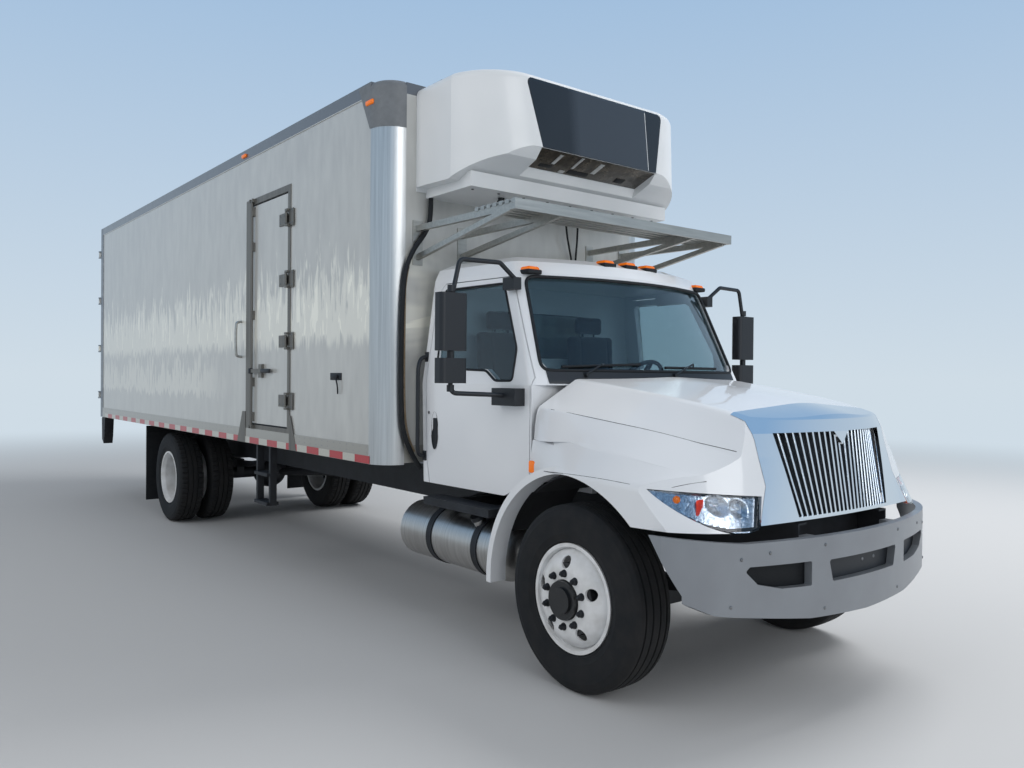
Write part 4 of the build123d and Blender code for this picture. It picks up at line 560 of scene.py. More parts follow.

# Wheel nuts: ten on each wheel, dark, with washers and stud ends
wheelNuts = dict(circle=0.143, count=10, washer=0.0215, nut=0.0185, height=0.024, stud=0.010,
                 frontFace=1.136, rearFace=0.937)
for side, sign in sides:
    for end, body, station, face in (("front", "front_wheel", frontAxle, wheelNuts["frontFace"]),
                                     ("rear", "rear_wheels", rearAxle, wheelNuts["rearFace"])):
        bm = bmesh.new()
        for index in range(wheelNuts["count"]):
            turn = radians(18 + 36 * index)
            spot = Vector((station + wheelNuts["circle"] * cos(turn), 0,
                           tyre["radius"] + wheelNuts["circle"] * sin(turn)))
            out = Vector((0, sign, 0))
            base = spot + out * (face - 0.001)
            addRod(bm, base, base + out * 0.007, wheelNuts["washer"], 0.020, 20)
            addRod(bm, base + out * 0.006, base + out * wheelNuts["height"], wheelNuts["nut"], 0.0165, 6)
            addRod(bm, base + out * wheelNuts["height"], base + out * 0.034, wheelNuts["stud"], 0.008, 12)
        finishPiece(bm, f"wheel_nuts_{end}_{side}", chassisPaint, f"{body}_{side}")
print("wheel nuts made")

# Cab trim: seals, cowl, wipers, handles, grab bars and mirror glasses
cabTrim = dict(sealRadius=0.011, windowSeal=0.008, handle=(-1.435, 1.340), handleHalf=(0.036, 0.128),
               keyhole=(-1.500, 1.460), grabX=-1.545, grabOut=1.100, grabLow=1.215, grabHigh=1.765)
windscreenCorners = [(-0.905, 1.752), (0.905, 1.752), (0.832, 2.335), (-0.832, 2.335)]
rearWindowCorners = [(-0.450, 1.850), (0.450, 1.850), (0.450, 2.190), (-0.450, 2.190)]
windowCorners = [(-0.845, 2.290), (-0.690, 1.975), (-0.640, 1.880), (-0.640, 1.690), (-0.800, 1.690),
                 (-0.900, 1.755), (-1.420, 1.765), (-1.425, 2.290)]
shell = surfaceOf("cab_shell")
hoodSkin = surfaceOf("hood", "grille")


def outline(corners, radius, grow=0.0, step=0.05):
    # points along a closed outline with rounded corners
    middle = sum((Vector(corner) for corner in corners), Vector((0, 0))) / len(corners)
    grown = [Vector(corner) + (Vector(corner) - middle).normalized() * grow for corner in corners]
    points = []
    for index, here in enumerate(grown):
        before, after = (grown[(index + shift) % len(grown)] for shift in (-1, 1))
        start = here + (before - here).normalized() * radius
        end = here + (after - here).normalized() * radius
        for share in (0, 0.25, 0.5, 0.75, 1):
            points.append(start * (1 - share) ** 2 + here * (2 * share * (1 - share)) + end * share ** 2)
        stop = after + (here - after).normalized() * radius
        pieces = max(int((stop - end).length / step), 1)
        points += [end.lerp(stop, portion / pieces) for portion in range(1, pieces)]
    return points


def sealOn(name, trees, starts, direction, radius, body, closed=True, lift=0.0):
    places = [dropOn(trees, start, direction, lift) for start in starts]
    addTube(name, [place for place in places if place], radius, sealRubber, body, closed)


sealOn("windscreen_seal", shell, [at(1.0, y, z) for y, z in outline(windscreenCorners, 0.06, 0.010)],
       (-1, 0, 0), cabTrim["sealRadius"], "chassis")
sealOn("rear_window_seal", shell, [at(-3.0, y, z) for y, z in outline(rearWindowCorners, 0.06, 0.010)],
       (1, 0, 0), cabTrim["windowSeal"], "chassis")
for side, sign in sides:
    starts = [at(x, sign * 2, z) for x, z in outline(windowCorners, 0.025, 0.008)]
    sealOn(f"door_window_seal_{side}", surfaceOf(f"cab_door_{side}"), starts, (0, -sign, 0),
           cabTrim["windowSeal"], f"cab_door_{side}_assembly")

# black cowl between the hood and the windscreen: a grid dropped onto the shell's slope
bm = bmesh.new()
bmesh.ops.create_grid(bm, x_segments=60, y_segments=4, size=0.5)
for vert in bm.verts:
    place = fromAhead(shell, vert.co.x * 1.78, 1.708 + vert.co.y * 0.074, 0.004)
    vert.co = place if place else at(-0.45, vert.co.x * 1.78, 1.7)
bmesh.ops.solidify(bm, geom=bm.faces[:], thickness=0.003)
finishPiece(bm, "cowl_panel", trimPlastic, "chassis")

wipers = {                    # pivot, elbow and the blade's two ends, as (y, z) on the windscreen
    "right": ((-0.640, 1.722), (-0.520, 1.775), (-0.775, 1.768), (-0.200, 1.790)),
    "left": ((0.080, 1.722), (0.300, 1.790), (0.020, 1.772), (0.640, 1.772)),
}
screen = surfaceOf("cab_shell", "cab_glass")
for side, spots in wipers.items():
    pivot, elbow, start, end = [fromAhead(screen, y, z, lift)
                                for (y, z), lift in zip(spots, (0.012, 0.034, 0.016, 0.016))]
    bm = bmesh.new()
    addRod(bm, pivot - Vector((0.03, 0, 0)), pivot + Vector((0.012, 0, 0)), 0.017, 0.013, 16)
    addRod(bm, pivot, elbow, 0.008, 0.006, 12)
    middle = (start + end) / 2
    addRod(bm, elbow, middle + Vector((0.012, 0, 0.004)), 0.006, 0.005, 12)
    finishPiece(bm, f"wiper_arm_{side}", trimPlastic, "chassis")
    start, end = (Vector(spot) for spot in spots[2:])
    blade = [fromAhead(screen, *start.lerp(end, share), 0.010) for share in (0, 0.25, 0.5, 0.75, 1)]
    addTube(f"wiper_blade_{side}", blade, 0.009, sealRubber, "chassis")

for side, sign in sides:
    door = surfaceOf(f"cab_door_{side}")
    body = f"cab_door_{side}_assembly"
    # the handle: an oval recess rim with a paddle in it
    x, z = cabTrim["handle"]
    halfX, halfZ = cabTrim["handleHalf"]
    face = fromSide(door, x, sign, z)
    bm = bmesh.new()
    ring = bmesh.ops.create_circle(bm, cap_ends=True, segments=40, radius=1)["verts"]
    for vert in ring:
        turn = atan2(vert.co.y, vert.co.x)
        squareness = 1.12 if abs(sin(2 * turn)) > 0.5 else 1.0
        vert.co = Vector((x + frontAxle + cos(turn) * halfX * squareness, face.y + sign * 0.004,
                          z + sin(turn) * halfZ))
    rim = bm.faces[:]
    bmesh.ops.inset_region(bm, faces=rim, thickness=0.007, depth=0.0)
    floor = [flat for flat in bm.faces if len(flat.verts) == 40]
    made = bmesh.ops.extrude_face_region(bm, geom=floor)
    inner = [vert for vert in made["geom"] if isinstance(vert, bmesh.types.BMVert)]
    bmesh.ops.delete(bm, geom=floor, context="FACES_ONLY")
    bmesh.ops.translate(bm, verts=inner, vec=(0, -sign * 0.003, 0))
    proud = 0.010 if sign > 0 else 0.004
    addBlock(bm, at(x - 0.020, face.y - 0.004, z - 0.085), at(x + 0.020, face.y + proud, z + 0.085), 0.006,
             segments=3)
    finishPiece(bm, f"door_handle_{side}", trimPlastic, body, 40)
    x, z = cabTrim["keyhole"]
    bm = bmesh.new()
    spot = fromSide(door, x, sign, z)
    addRod(bm, spot - Vector((0, sign * 0.004, 0)), spot + Vector((0, sign * 0.005, 0)), 0.011, 0.009, 20)
    finishPiece(bm, f"keyhole_{side}", bareSteel, body)

    # grab bar on the pillar behind the door
    x, out, low, high = (cabTrim[key] for key in ("grabX", "grabOut", "grabLow", "grabHigh"))
    feet = [fromSide(shell, x - 0.015, sign, z) for z in (low - 0.055, high + 0.075)]
    bar = [feet[0], feet[0] + Vector((0, sign * 0.045, 0.0)), at(x, sign * out, low - 0.01),
           at(x, sign * out, low + 0.10), at(x, sign * out, high - 0.10), at(x, sign * out, high + 0.01),
           feet[1] + Vector((0, sign * 0.045, 0)), feet[1]]
    addTube(f"grab_bar_{side}", bar, 0.014, trimPlastic, "chassis")
    bm = bmesh.new()
    for foot in feet:
        addBlock(bm, foot + Vector((-0.022, -0.006, -0.034)), foot + Vector((0.022, 0.006, 0.034)), 0.004)
    finishPiece(bm, f"grab_bar_feet_{side}", trimPlastic, "chassis")

mirrors = dict(rearFace=(-0.765, -0.7675), heads=((1.858, 2.195, 0.190), (1.668, 1.815, 0.185)), y=1.395)
for side, sign in sides:
    bm = bmesh.new()
    for face, (low, high, width) in zip(mirrors["rearFace"], mirrors["heads"]):
        half = width / 2 - 0.020
        addBlock(bm, at(face - 0.003, sign * mirrors["y"] - half, low + 0.014),
                 at(face + 0.001, sign * mirrors["y"] + half, high - 0.014), 0.0015)
    finishPiece(bm, f"mirror_glass_{side}", mirrorGlass, f"cab_door_{side}_assembly")
    bm = bmesh.new()
    for height in (1.638, 1.836, 2.222):
        middle = at(-0.72, sign * mirrors["y"], height)
        addRod(bm, middle - Vector((0, 0, 0.020)), middle + Vector((0, 0, 0.020)), 0.022, sides=24)
    finishPiece(bm, f"mirror_collars_{side}", trimPlastic, f"cab_door_{side}_assembly")
print("cab trim made")

# Hood: seams of its moulded panels and the amber lamps at its rear edge
hoodSeams = {                 # points near the left side's seams, each dropped onto the skin
    "body_line": ((-0.420, 0.980, 1.530), (0.190, 0.920, 1.460), (0.620, 0.780, 1.370),
                  (0.840, 0.640, 1.310)),
    "fender_line": ((-0.310, 1.150, 1.200), (0.130, 1.150, 1.190), (0.610, 1.110, 1.170),
                    (0.800, 0.700, 1.140)),
}
for name, corners in hoodSeams.items():
    for side, sign in sides:
        spots = []
        for start, end in zip(corners, corners[1:]):
            for share in (0, 0.2, 0.4, 0.6, 0.8):
                x, y, z = Vector(start).lerp(Vector(end), share)
                spots.append(at(x, sign * (y + 0.35), z + 0.18))
        sealOn(f"hood_{name}_{side}", hoodSkin, spots, (0, -sign * 0.35, -0.18), 0.0022, "hood_assembly",
               closed=False, lift=-0.001)
sideLamp = dict(x=(-0.420, -0.352), z=(1.150, 1.222))
for side, sign in sides:
    spot = fromSide(hoodSkin, -0.392, sign, 1.215)
    bm = bmesh.new()
    (x0, x1), (z0, z1) = sideLamp["x"], sideLamp["z"]
    near, far = sorted((spot.y - sign * 0.010, spot.y + sign * 0.012))
    addBlock(bm, (x0 + frontAxle, near, z0), (x1 + frontAxle, far, z1), 0.011, segments=4)
    finishPiece(bm, f"hood_side_lamp_{side}", amberLens, "hood_assembly")
print("hood seams made")

# Grille backing: a black panel behind the bars, leaning and swept back as they are
grille = dict(half=0.530, low=1.005, high=1.452, behind=0.062)
bm = bmesh.new()
bmesh.ops.create_grid(bm, x_segments=30, y_segments=10, size=0.5)
for vert in bm.verts:
    y = vert.co.x * 2 * grille["half"]
    z = grille["low"] + (vert.co.y + 0.5) * (grille["high"] - grille["low"])
    lean = 0.982 - (z - 1.018) / 0.418 * 0.057
    sweep = (0.040 + (z - 1.018) / 0.418 * 0.070) * (y / 0.5) ** 2
    vert.co = at(lean - sweep - grille["behind"], y, z)
bmesh.ops.solidify(bm, geom=bm.faces[:], thickness=0.004)
finishPiece(bm, "grille_backing", trimPlastic, "hood_assembly")

# Headlamps: a bright bowl pair behind each clear lens, an amber turn bulb and a red side reflector
lampBowls = [(0.778, 1.074, 0.046), (0.872, 1.092, 0.048)]      # |y|, z, radius
lampEdge = [(0.722, 0.988), (0.760, 0.985), (0.860, 0.985), (0.960, 1.008), (1.040, 1.064), (1.112, 1.166),
            (0.662, 1.132)]
lensSkin = surfaceOf("headlamps")


def insideEdge(y, z, edge):
    inside = False
    for (y0, z0), (y1, z1) in zip(edge, edge[1:] + edge[:1]):
        if (z0 > z) != (z1 > z) and y < y0 + (z - z0) / (z1 - z0) * (y1 - y0):
            inside = not inside
    return inside


for side, sign in sides:
    bm = bmesh.new()
    bmesh.ops.create_grid(bm, x_segments=72, y_segments=32, size=0.5)
    gone = []
    for vert in bm.verts:
        y, z = 0.885 + vert.co.x * 0.46, 1.076 + vert.co.y * 0.186
        hit = fromAhead(lensSkin, sign * y, z) if insideEdge(y, z, lampEdge) else None
        if hit is None:
            gone.append(vert)
            continue
        depth = 0.040
        for bowlY, bowlZ, radius in lampBowls:
            away = sqrt((y - bowlY) ** 2 + (z - bowlZ) ** 2) / radius
            if away < 1:
                depth += 0.046 * (1 - away ** 2)
        vert.co = Vector((hit.x - depth, sign * y, z))
    bmesh.ops.delete(bm, geom=gone, context="VERTS")
    bmesh.ops.solidify(bm, geom=bm.faces[:], thickness=0.002)
    finishPiece(bm, f"lamp_bowls_{side}", lampBowl, "hood_assembly", 60)
    bm = bmesh.new()
    for bowlY, bowlZ, radius in lampBowls:
        hit = fromAhead(lensSkin, sign * bowlY, bowlZ)
        addRod(bm, hit - Vector((0.080, 0, 0)), hit - Vector((0.045, 0, 0)), 0.012, 0.008, 20)
    finishPiece(bm, f"lamp_bulbs_{side}", mirrorGlass, "hood_assembly")
    bm = bmesh.new()
    hit = fromAhead(lensSkin, sign * 1.020, 1.120)
    addDome(bm, hit - Vector((0.038, 0, 0)), 0.020, flat=0.9, outward=(1, 0, 0))
    finishPiece(bm, f"lamp_turn_bulb_{side}", amberLens, "hood_assembly")
    bm = bmesh.new()
    hit = fromAhead(lensSkin, sign * 0.952, 1.088)
    addBlock(bm, hit - Vector((0.036, 0.024, 0.040)), hit + Vector((-0.026, 0.024, 0.036)), 0.010,
             segments=3)
    finishPiece(bm, f"lamp_side_reflector_{side}", reflexLens, "hood_assembly")
print("headlamps fitted")

# Bumper: bolt heads, and black panels close behind its openings, painted shade where the openings show only
# shadow
bumperSkin = surfaceOf("bumper")
bumperBolts = [(0.720, 0.880), (0.360, 0.890), (0.360, 0.575), (0.880, 0.860), (0.930, 0.640)]
bm = bmesh.new()
for y, z in bumperBolts:
    for sign in (-1, 1):
        spot = fromAhead(bumperSkin, sign * y, z)
        if spot:
            addDome(bm, spot, 0.0095, flat=0.45, outward=(1, 0, 0))
# black panels behind the openings, painted shade, with two bolt heads on them
bumperShadePanels = dict(nose=1.090, arc=2.844, behind=0.046, bolts=((0.030, 0.766), (0.150, 0.766)),
                  panels=((-0.345, 0.345, 0.694, 0.820), (0.445, 0.850, 0.690, 0.830),
                          (-0.850, -0.445, 0.690, 0.830)))


def shadePanelPoint(y, z):
    return at(bumperShadePanels["nose"] - bumperShadePanels["arc"] + sqrt(bumperShadePanels["arc"] ** 2 - y * y)
              - bumperShadePanels["behind"], y, z)


for y, z in bumperShadePanels["bolts"]:
    addDome(bm, shadePanelPoint(y, z), 0.010, outward=(1, 0, 0))
finishPiece(bm, "bumper_bolts", bareSteel, "chassis")
# the dark panels: painted shade behind the openings
bm = bmesh.new()
for left, right, low, high in bumperShadePanels["panels"]:
    made = bmesh.ops.create_grid(bm, x_segments=24, y_segments=1, size=0.5)
    for vert in made["verts"]:
        vert.co = shadePanelPoint(left + (vert.co.x + 0.5) * (right - left), low + (vert.co.y + 0.5) * (high - low))
bmesh.ops.solidify(bm, geom=bm.faces[:], thickness=0.003)
finishPiece(bm, "bumper_shade_panels", trimPlastic, "chassis")
print("bumper fitted")

# Body sheet: reflective tape, rivets, marker lamps, hold-back hook and grab handle
tape = dict(front=-1.860, rear=-9.640, low=1.090, high=1.144, red=0.215, white=0.185, out=1.2962)
for side, sign in sides:
    bm = bmesh.new()
    x = tape["front"]
    while x - tape["red"] > tape["rear"]:
        for start, size, finish in ((x, tape["red"], 0), (x - tape["red"], tape["white"], 1)):
            low = at(start - size, sign * tape["out"] - 0.0010, tape["low"])
            high = at(start, sign * tape["out"] + 0.0010, tape["high"])
            addBlock(bm, low, high, finish=finish)
        x -= tape["red"] + tape["white"]
    finishPiece(bm, f"reflective_tape_{side}", [redTape, whiteTape], "chassis")

rivets = dict(front=-1.900, rear=-9.680, pitch=0.1016, radius=0.0045, rows=(1.168, 1.206, 3.678, 3.742))
for side, sign in sides:
    bm = bmesh.new()
    count = int((rivets["front"] - rivets["rear"]) / rivets["pitch"])
    for index in range(count + 1):
        x = rivets["front"] - index * rivets["pitch"]
        for z in rivets["rows"]:
            if sign < 0 and z < 1.4 and -4.40 < x < -3.05:
                continue
            addDome(bm, at(x, sign * 1.295, z), rivets["radius"], flat=0.4, outward=(0, sign, 0), sides=8)
    finishPiece(bm, f"rail_rivets_{side}", railExtrusion, "chassis")

capSkin = surfaceOf("corner_caps")
for side, sign in sides:
    bm = bmesh.new()
    mirrored(bm, sign, (-4.278, 1.293, 3.692), (-4.182, 1.313, 3.724), 0.009)
    cap = fromSide(capSkin, -1.885, sign, 3.615)
    addBlock(bm, cap - Vector((0.050, 0.012, 0.017)), cap + Vector((0.050, 0.012, 0.017)), 0.010, segments=3)
    finishPiece(bm, f"marker_lamps_{side}", amberLens, "chassis")

bm = bmesh.new()              # hold-back that catches the opened side door
addBlock(bm, at(-2.480, -1.294, 1.672), at(-2.300, -1.286, 1.726), 0.003)
addBlock(bm, at(-2.430, -1.312, 1.686), at(-2.345, -1.292, 1.712), 0.005)
for x in (-2.462, -2.318):
    addDome(bm, at(x, -1.294, 1.700), 0.007, outward=(0, -1, 0))
finishPiece(bm, "door_hold_back", chassisPaint, "chassis")
bodyRods = {                  # radius, finish, slot and points
    "door_hold_back_chain": (0.006, chassisPaint, "black_paint", (
        (-2.355, -1.309, 1.688), (-2.338, -1.310, 1.655), (-2.330, -1.306, 1.612), (-2.336, -1.302, 1.570))),
    "body_grab_handle": (0.012, anodised, "anodised", (
        (-4.300, -1.289, 1.870), (-4.300, -1.330, 1.872), (-4.300, -1.345, 1.900), (-4.300, -1.345, 2.165),
        (-4.300, -1.330, 2.193), (-4.300, -1.289, 2.195))),
}
for name, (radius, finish, slot, points) in bodyRods.items():
    addTube(name, [at(*point) for point in points], radius, finish, "chassis")
print("body fitted")

# Marker lamps on the cab's roof: amber lenses on dark gaskets, and red ones at the body's rear corners
roofMarkers = dict(half=(0.048, 0.050), height=0.026, places=(
    (-0.655, 0.0), (-0.660, 0.200), (-0.660, -0.200), (-0.720, 0.800), (-0.720, -0.800)))
lenses, gaskets = bmesh.new(), bmesh.new()
for x, y in roofMarkers["places"]:
    top = dropOn(shell, at(x, y, 3.0), (0, 0, -1))
    halfX, halfY = roofMarkers["half"]
    addBlock(lenses, top - Vector((halfX, halfY, 0.022)), top + Vector((halfX, halfY, roofMarkers["height"])),
             0.020, segments=5)
    addBlock(gaskets, top - Vector((halfX + 0.008, halfY + 0.008, 0.024)),
             top + Vector((halfX + 0.008, halfY + 0.008, 0.006)), 0.010, segments=3)
finishPiece(gaskets, "roof_marker_gaskets", sealRubber, "chassis")
lens = finishPiece(lenses, "roof_marker_lenses", amberLens, "chassis")
bm = bmesh.new()
for sign in (-1, 1):
    for z in (1.150, 3.690):
        mirrored(bm, sign, (-9.736, 1.160, z - 0.025), (-9.719, 1.220, z + 0.025), 0.008)
finishPiece(bm, "rear_marker_lenses", redLens, "chassis")
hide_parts("lamps")

# Side door: rubber seal in the gap, lever grip, bolt heads on the hinges
leaf = dict(rear=-4.0485, front=-3.2715, low=1.2665, high=3.2215)      # with half the gap round it
corners = [(leaf["rear"], leaf["low"]), (leaf["front"], leaf["low"]), (leaf["front"], leaf["high"]),
           (leaf["rear"], leaf["high"])]
addTube("side_door_seal", [at(x, -1.283, z) for x, z in outline(corners, 0.02, 0, 0.2)], 0.0062, sealRubber,
        "chassis", closed=True)
sideHinges = (3.005, 2.498, 1.988, 1.490)
for name, body, stations, y, shift in (
        ("side_door_hinge_bolts", "side_door_leaf", (-3.410, -3.330), -1.298, 0.028),
        ("side_frame_hinge_bolts", "chassis", (-3.210, -3.165), -1.301, 0.048)):
    bm = bmesh.new()
    for x, hinge, up in product(stations, sideHinges, (-shift, shift)):
        addDome(bm, at(x, y, hinge + up), 0.008, outward=(0, -1, 0))
    finishPiece(bm, name, bareSteel, body)
bm = bmesh.new()
addBlock(bm, at(-3.760, -1.330, 1.722), at(-3.578, -1.306, 1.758), 0.008, segments=3)
addBlock(bm, at(-4.030, -1.334, 1.716), at(-3.990, -1.300, 1.764), 0.006)
finishPiece(bm, "side_door_lever", trimPlastic, "side_door_leaf")
print("side door fitted")

# Cooling unit: intake panel under the face, with dark blocks as painted shade in its slots and bright strips
# as painted glints; seam of the face, screws, knob and bracket
unitSkin = surfaceOf("reefer_shell", "reefer_face")
intake = dict(middle=(-1.005, 3.1885), length=0.218, slope=-21.3, half=0.549, seamY=0.472,
              seamZ=(3.236, 3.672))


def addIntakeBlock(bm, along, y, size, proud, finish):
    slope = Matrix.Rotation(radians(intake["slope"]), 4, "Y")
    middleX, middleZ = intake["middle"]
    spot = at(middleX, y, middleZ) + slope @ Vector((along, 0, -proud))
    half = Vector((size[0] / 2, size[1] / 2, 0.0015))
    addBlock(bm, spot - half, spot + half, 0.0006, turn=slope, finish=finish)


bm = bmesh.new()
addIntakeBlock(bm, 0.0, 0.0, (intake["length"], 2 * intake["half"]), 0.0, 0)
# dark blocks where the slots are: painted shade inside them
for along, y, size in ((-0.060, -0.390, (0.030, 0.110)), (-0.070, -0.080, (0.040, 0.190)),
                       (-0.055, 0.330, (0.050, 0.090))):
    addIntakeBlock(bm, along, y, size, 0.0024, 1)
# bright metal strips where glints show: painted highlights
for along, y, size in ((0.030, -0.350, (0.110, 0.030)), (0.035, -0.165, (0.130, 0.024)),
                       (0.020, 0.040, (0.120, 0.040)), (-0.085, -0.220, (0.028, 0.050))):
    addIntakeBlock(bm, along, y, size, 0.0024, 2)
finishPiece(bm, "intake_panel", [intakeMetal, sealRubber, brushedPost], "chassis")
seamLine = []
for step in range(7):
    z = intake["seamZ"][0] + (intake["seamZ"][1] - intake["seamZ"][0]) * step / 6
    seamLine.append(fromAhead(unitSkin, intake["seamY"], z) - Vector((0.0015, 0, 0)))
addTube("unit_face_seam", seamLine, 0.0032, unitShell, "chassis")
bm = bmesh.new()
for index in range(9):
    y = -0.880 + index * 0.220
    spot = dropOn(unitSkin, at(-1.230, y, 2.0), (0, 0, 1))
    if spot:
        addDome(bm, spot, 0.011, outward=(0, 0, -1))
finishPiece(bm, "unit_belly_screws", chassisPaint, "chassis")
bm = bmesh.new()
knob = dropOn(unitSkin, at(-1.330, -0.560, 2.0), (0, 0, 1))
addRod(bm, knob + Vector((0, 0, 0.01)), knob - Vector((0, 0, 0.020)), 0.024, 0.022, 24)
addRod(bm, knob - Vector((0, 0, 0.020)), knob - Vector((0, 0, 0.048)), 0.030, 0.026, 24)
finishPiece(bm, "unit_drain_knob", trimPlastic, "chassis")
bm = bmesh.new()
addBlock(bm, at(-1.560, -0.985, 3.722), at(-1.470, -0.900, 3.730), 0.002)
addBlock(bm, at(-1.522, -0.950, 3.726), at(-1.508, -0.936, 3.755), 0.003)
finishPiece(bm, "aerial_bracket", bareSteel, "chassis")
print("cooling unit fitted")

# Rear of the body: seal round the doors, grips of the latch handles, lamps at the top and in the sill
rearLeaf = dict(outer=1.170, low=1.225, high=3.595, x=-9.716)
corners = [(-rearLeaf["outer"], rearLeaf["low"]), (rearLeaf["outer"], rearLeaf["low"]),
           (rearLeaf["outer"], rearLeaf["high"]), (-rearLeaf["outer"], rearLeaf["high"])]
addTube("rear_door_seal", [at(rearLeaf["x"], y, z) for y, z in outline(corners, 0.02, 0, 0.25)], 0.0045,
        sealRubber, "chassis", closed=True)
bm = bmesh.new()
for y in (-0.16, 0, 0.16):
    addBlock(bm, at(-9.736, y - 0.045, 3.672), at(-9.719, y + 0.045, 3.704), 0.006, segments=3)
for sign in (-1, 1):
    for y in (1.080, 0.940):
        mirrored(bm, sign, (-9.742, y - 0.055, 1.108), (-9.719, y + 0.055, 1.192), 0.010)
finishPiece(bm, "rear_lamps", redLens, "chassis")
for side, sign in sides:
    bm = bmesh.new()
    mirrored(bm, sign, (-9.756, 0.300, 1.702), (-9.720, 0.472, 1.738), 0.008)
    finishPiece(bm, f"rear_latch_grip_{side}", trimPlastic, f"rear_door_{side}_leaf")
print("rear fitted")

# Fuel tank: filler cap and neck
bm = bmesh.new()
neck = at(-1.000, -0.965, 0.775)
out = Vector((0, -0.50, 0.82)).normalized()
addRod(bm, neck - out * 0.03, neck + out * 0.030, 0.042, 0.040, 32)
finishPiece(bm, "tank_filler_neck", tankAluminium, "chassis")
bm = bmesh.new()
addRod(bm, neck + out * 0.028, neck + out * 0.055, 0.050, 0.046, 32)
addBlock(bm, neck + out * 0.050 + Vector((-0.040, -0.008, -0.006)),
         neck + out * 0.066 + Vector((0.040, 0.008, 0.006)), 0.004)
finishPiece(bm, "tank_filler_cap", trimPlastic, "chassis")
print("tank fitted")

# Cab inside: two padded seats on pedestals; a seat's cloth is swelled by simulation, then sewn
seat = dict(places=(0.430, -0.430), voxel=0.007, pressure=4, most=0.010, channel=0.006, channelHalf=0.007)
seatPads = {                  # low and high corner before swelling, corner rounding, lean back, sewn lines
    "cushion": ((-1.440, -0.238, 1.335), (-0.968, 0.238, 1.440), 0.035, 0.0, (-0.140, 0.140)),
    "back": ((-1.486, -0.232, 1.430), (-1.398, 0.232, 2.035), 0.035, 4.0, (-0.140, 0.140)),
    "headrest": ((-1.512, -0.132, 2.045), (-1.448, 0.132, 2.178), 0.028, 0.0, ()),
}


def swell(pad):
    # one gentle blow-up of a closed pad under cloth pressure, its reach capped
    remesh = pad.modifiers.new("remesh", "REMESH")
    remesh.mode = "VOXEL"
    remesh.voxel_size = seat["voxel"]
    graph = bpy.context.evaluated_depsgraph_get()
    even = bpy.data.meshes.new_from_object(pad.evaluated_get(graph))
    pad.modifiers.clear()
    pad.data = even
    start = [vert.co.copy() for vert in even.vertices]
    cloth = pad.modifiers.new("cloth", "CLOTH")
    cloth.settings.use_pressure = True
    cloth.settings.uniform_pressure_force = seat["pressure"]
    cloth.settings.effector_weights.gravity = 0
    cloth.settings.tension_stiffness = 8
    cloth.settings.compression_stiffness = 8
    cloth.settings.bending_stiffness = 0.6
    cloth.settings.quality = 4
    for step in range(1, 21):
        scene.frame_set(step)
    graph = bpy.context.evaluated_depsgraph_get()
    swollen = bpy.data.meshes.new_from_object(pad.evaluated_get(graph))
    for vert, rest in zip(swollen.vertices, start):
        move = vert.co - rest
        if move.length > seat["most"]:
            vert.co = rest + move.normalized() * seat["most"]
    pad.modifiers.clear()
    pad.data = swollen
    scene.frame_set(1)


def makePad(name, low, high, rounding, lean, lines):
    bm = bmesh.new()
    addBlock(bm, low, high, rounding, segments=4, turn=Matrix.Rotation(radians(-lean), 4, "Y"))
    bmesh.ops.recalc_face_normals(bm, faces=bm.faces)
    mesh = bpy.data.meshes.new(name)
    bm.to_mesh(mesh)
    bm.free()
    pad = bpy.data.objects.new(name, mesh)
    scene.collection.objects.link(pad)
    swell(pad)
    for vert in pad.data.vertices:
        for line in lines:
            away = (vert.co.y - line) / seat["channelHalf"]
            vert.co -= vert.normal * seat["channel"] * exp(-away * away)
    return pad


for kind, (low, high, rounding, lean, lines) in seatPads.items():
    pattern = makePad(kind, low, high, rounding, lean, lines)
    for side, y in zip(("left", "right"), seat["places"]):
        mesh = pattern.data.copy()
        mesh.transform(Matrix.Translation((frontAxle, y, 0)))
        mesh.shade_smooth()
        mesh.materials.clear()
        mesh.materials.append(seatCloth)
        pad = bpy.data.objects.new(f"seat_{kind}_{side}", mesh)
        scene.collection.objects.link(pad)
        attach(pad, "chassis")
        if kind == "cushion":
            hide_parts("seats")
    bpy.data.objects.remove(pattern)

bm = bmesh.new()
for y in seat["places"]:
    addBlock(bm, at(-1.400, y - 0.160, 1.055), at(-1.080, y + 0.160, 1.300), 0.020)
    addBlock(bm, at(-1.470, y - 0.225, 1.296), at(-0.990, y + 0.225, 1.332), 0.010)
    for shift in (-0.060, 0.060):
        addRod(bm, at(-1.478, y + shift, 1.990), at(-1.480, y + shift, 2.070), 0.007, sides=12)
finishPiece(bm, "seat_pedestals", chassisPaint, "chassis")
print("seats made")

# Load space: evaporator fans and the scuff rails along the walls
fans = dict(centres=(-0.500, 0.0, 0.500), radius=0.145)
for index, y in enumerate(fans["centres"]):
    centre = at(-2.210, y, 3.082)
    out = Vector((-0.635, 0, -0.772)).normalized()
    bm = bmesh.new()
    addRod(bm, centre - out * 0.004, centre + out * 0.010, fans["radius"], fans["radius"] - 0.004, 40)
    top = [face for face in bm.faces if len(face.verts) == 40 and face.normal.dot(out) > 0.9]
    bmesh.ops.inset_region(bm, faces=top, thickness=0.012)
    top = [face for face in bm.faces if len(face.verts) == 40 and face.normal.dot(out) > 0.9]
    bmesh.ops.translate(bm, verts=list({vert for face in top for vert in face.verts}), vec=-out * 0.012)
    addRod(bm, centre, centre + out * 0.022, 0.030, 0.026, 24)
    for blade in range(5):
        turn = radians(72 * blade)
        across = Vector((0, cos(turn), 0)) + out.cross(Vector((0, 1, 0))) * sin(turn)
        addRod(bm, centre + across * 0.024 + out * 0.008, centre + across * 0.122 + out * 0.012, 0.010,
               0.030, 4)
    finishPiece(bm, f"evaporator_fan_{index + 1}", trimPlastic, "chassis")
bm = bmesh.new()
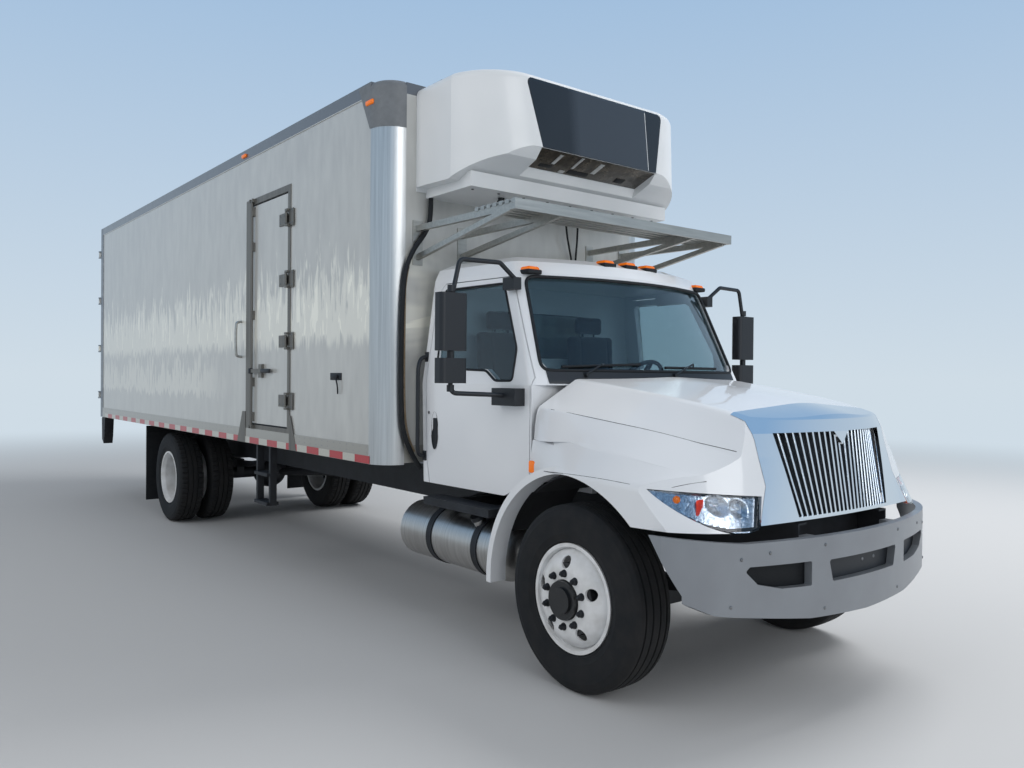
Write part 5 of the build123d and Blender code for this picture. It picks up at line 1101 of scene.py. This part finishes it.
for low, high in ((1.230, 1.420), (1.900, 2.000)):
    for sign in (-1, 1):
        for rear, front in ((-9.500, -4.200), (-3.150, -1.950)):
            mirrored(bm, sign, (rear, 1.206, low), (front, 1.2125, high), 0.002, segments=2)
finishPiece(bm, "scuff_rails", railExtrusion, "chassis")
print("load space fitted")

# Floor, backdrop and lamps
studio = dict(floor="#C9CACB", floorSize=300, horizon="#CFDCE6", zenith="#8FB4DA", fill="#E9EEF4",
              fillLevel=0.50, fade=(6.0, 21.0))


def buildStudio():
    bm = bmesh.new()
    bmesh.ops.create_grid(bm, x_segments=1, y_segments=1, size=studio["floorSize"] / 2)
    mesh = bpy.data.meshes.new("studio_floor")
    bm.to_mesh(mesh)
    bm.free()
    floorFinish = newFinish("studio_floor", {"Base Color": hexColour(studio["floor"]), "Roughness": 0.9})
    tree, shader, place = insides(floorFinish)
    away = addNode(tree, "ShaderNodeVectorMath", {"operation": "LENGTH"}, {0: place}).outputs["Value"]
    near, far = studio["fade"]
    fade = addNode(tree, "ShaderNodeMapRange", {"interpolation_type": "SMOOTHSTEP", 1: near, 2: far},
                   {0: away})
    distant = addNode(tree, "ShaderNodeEmission", {"Color": hexColour(studio["horizon"]), "Strength": 1.0})
    blended = addNode(tree, "ShaderNodeMixShader", {}, {0: fade, 1: shader, 2: distant})
    tree.links.new(blended.outputs[0], tree.nodes["Material Output"].inputs["Surface"])
    mesh.materials.append(floorFinish)
    floor = bpy.data.objects.new("studio_floor", mesh)
    scene.collection.objects.link(floor)

    world = bpy.data.worlds.new("studio")
    world.use_nodes = True
    scene.world = world
    tree = world.node_tree
    tree.nodes.clear()
    ray = addNode(tree, "ShaderNodeLightPath")
    seen = addNode(tree, "ShaderNodeMath", {"operation": "ADD"},
                   {0: ray.outputs["Is Camera Ray"], 1: ray.outputs["Is Glossy Ray"]})
    shown = addNode(tree, "ShaderNodeMath", {"operation": "ADD", "use_clamp": True},
                    {0: seen, 1: ray.outputs["Is Transmission Ray"]})
    place = addNode(tree, "ShaderNodeTexCoord").outputs["Generated"]
    height = addNode(tree, "ShaderNodeSeparateXYZ", {}, {0: place}).outputs["Z"]
    sweep = addNode(tree, "ShaderNodeValToRGB",
                    {"ramp": ((0.0, studio["horizon"]), (0.55, studio["zenith"]))}, {"Fac": height})
    backdrop = addNode(tree, "ShaderNodeBackground", {"Strength": 1.0}, {"Color": sweep})
    fill = addNode(tree, "ShaderNodeBackground",
                   {"Color": hexColour(studio["fill"]), "Strength": studio["fillLevel"]})
    mixed = addNode(tree, "ShaderNodeMixShader", {}, {0: shown, 1: fill, 2: backdrop})
    addNode(tree, "ShaderNodeOutputWorld", {}, {"Surface": mixed})


lamps = {                    # place from the front axle, aim, size, watts
    "key": ((-1.0, 9.0, 12.0), (-1.5, 0.0, 1.5), 8.0, 1500),
    "front": ((13.0, -1.0, 7.0), (0.0, 0.0, 1.4), 7.0, 560),
    "side": ((-3.0, -13.0, 8.0), (-4.0, 0.0, 2.0), 9.0, 420),
}


def buildLamps():
    for name, (place, aim, size, watts) in lamps.items():
        data = bpy.data.lights.new(name, "AREA")
        data.size = size
        data.energy = watts
        lamp = bpy.data.objects.new(name, data)
        lamp.location = at(*place)
        lamp.rotation_euler = (at(*aim) - at(*place)).to_track_quat("-Z", "Y").to_euler()
        lamp.visible_glossy = name == "front"
        scene.collection.objects.link(lamp)


buildStudio()
buildLamps()
scene.view_settings.view_transform = "Standard"
print("studio built")
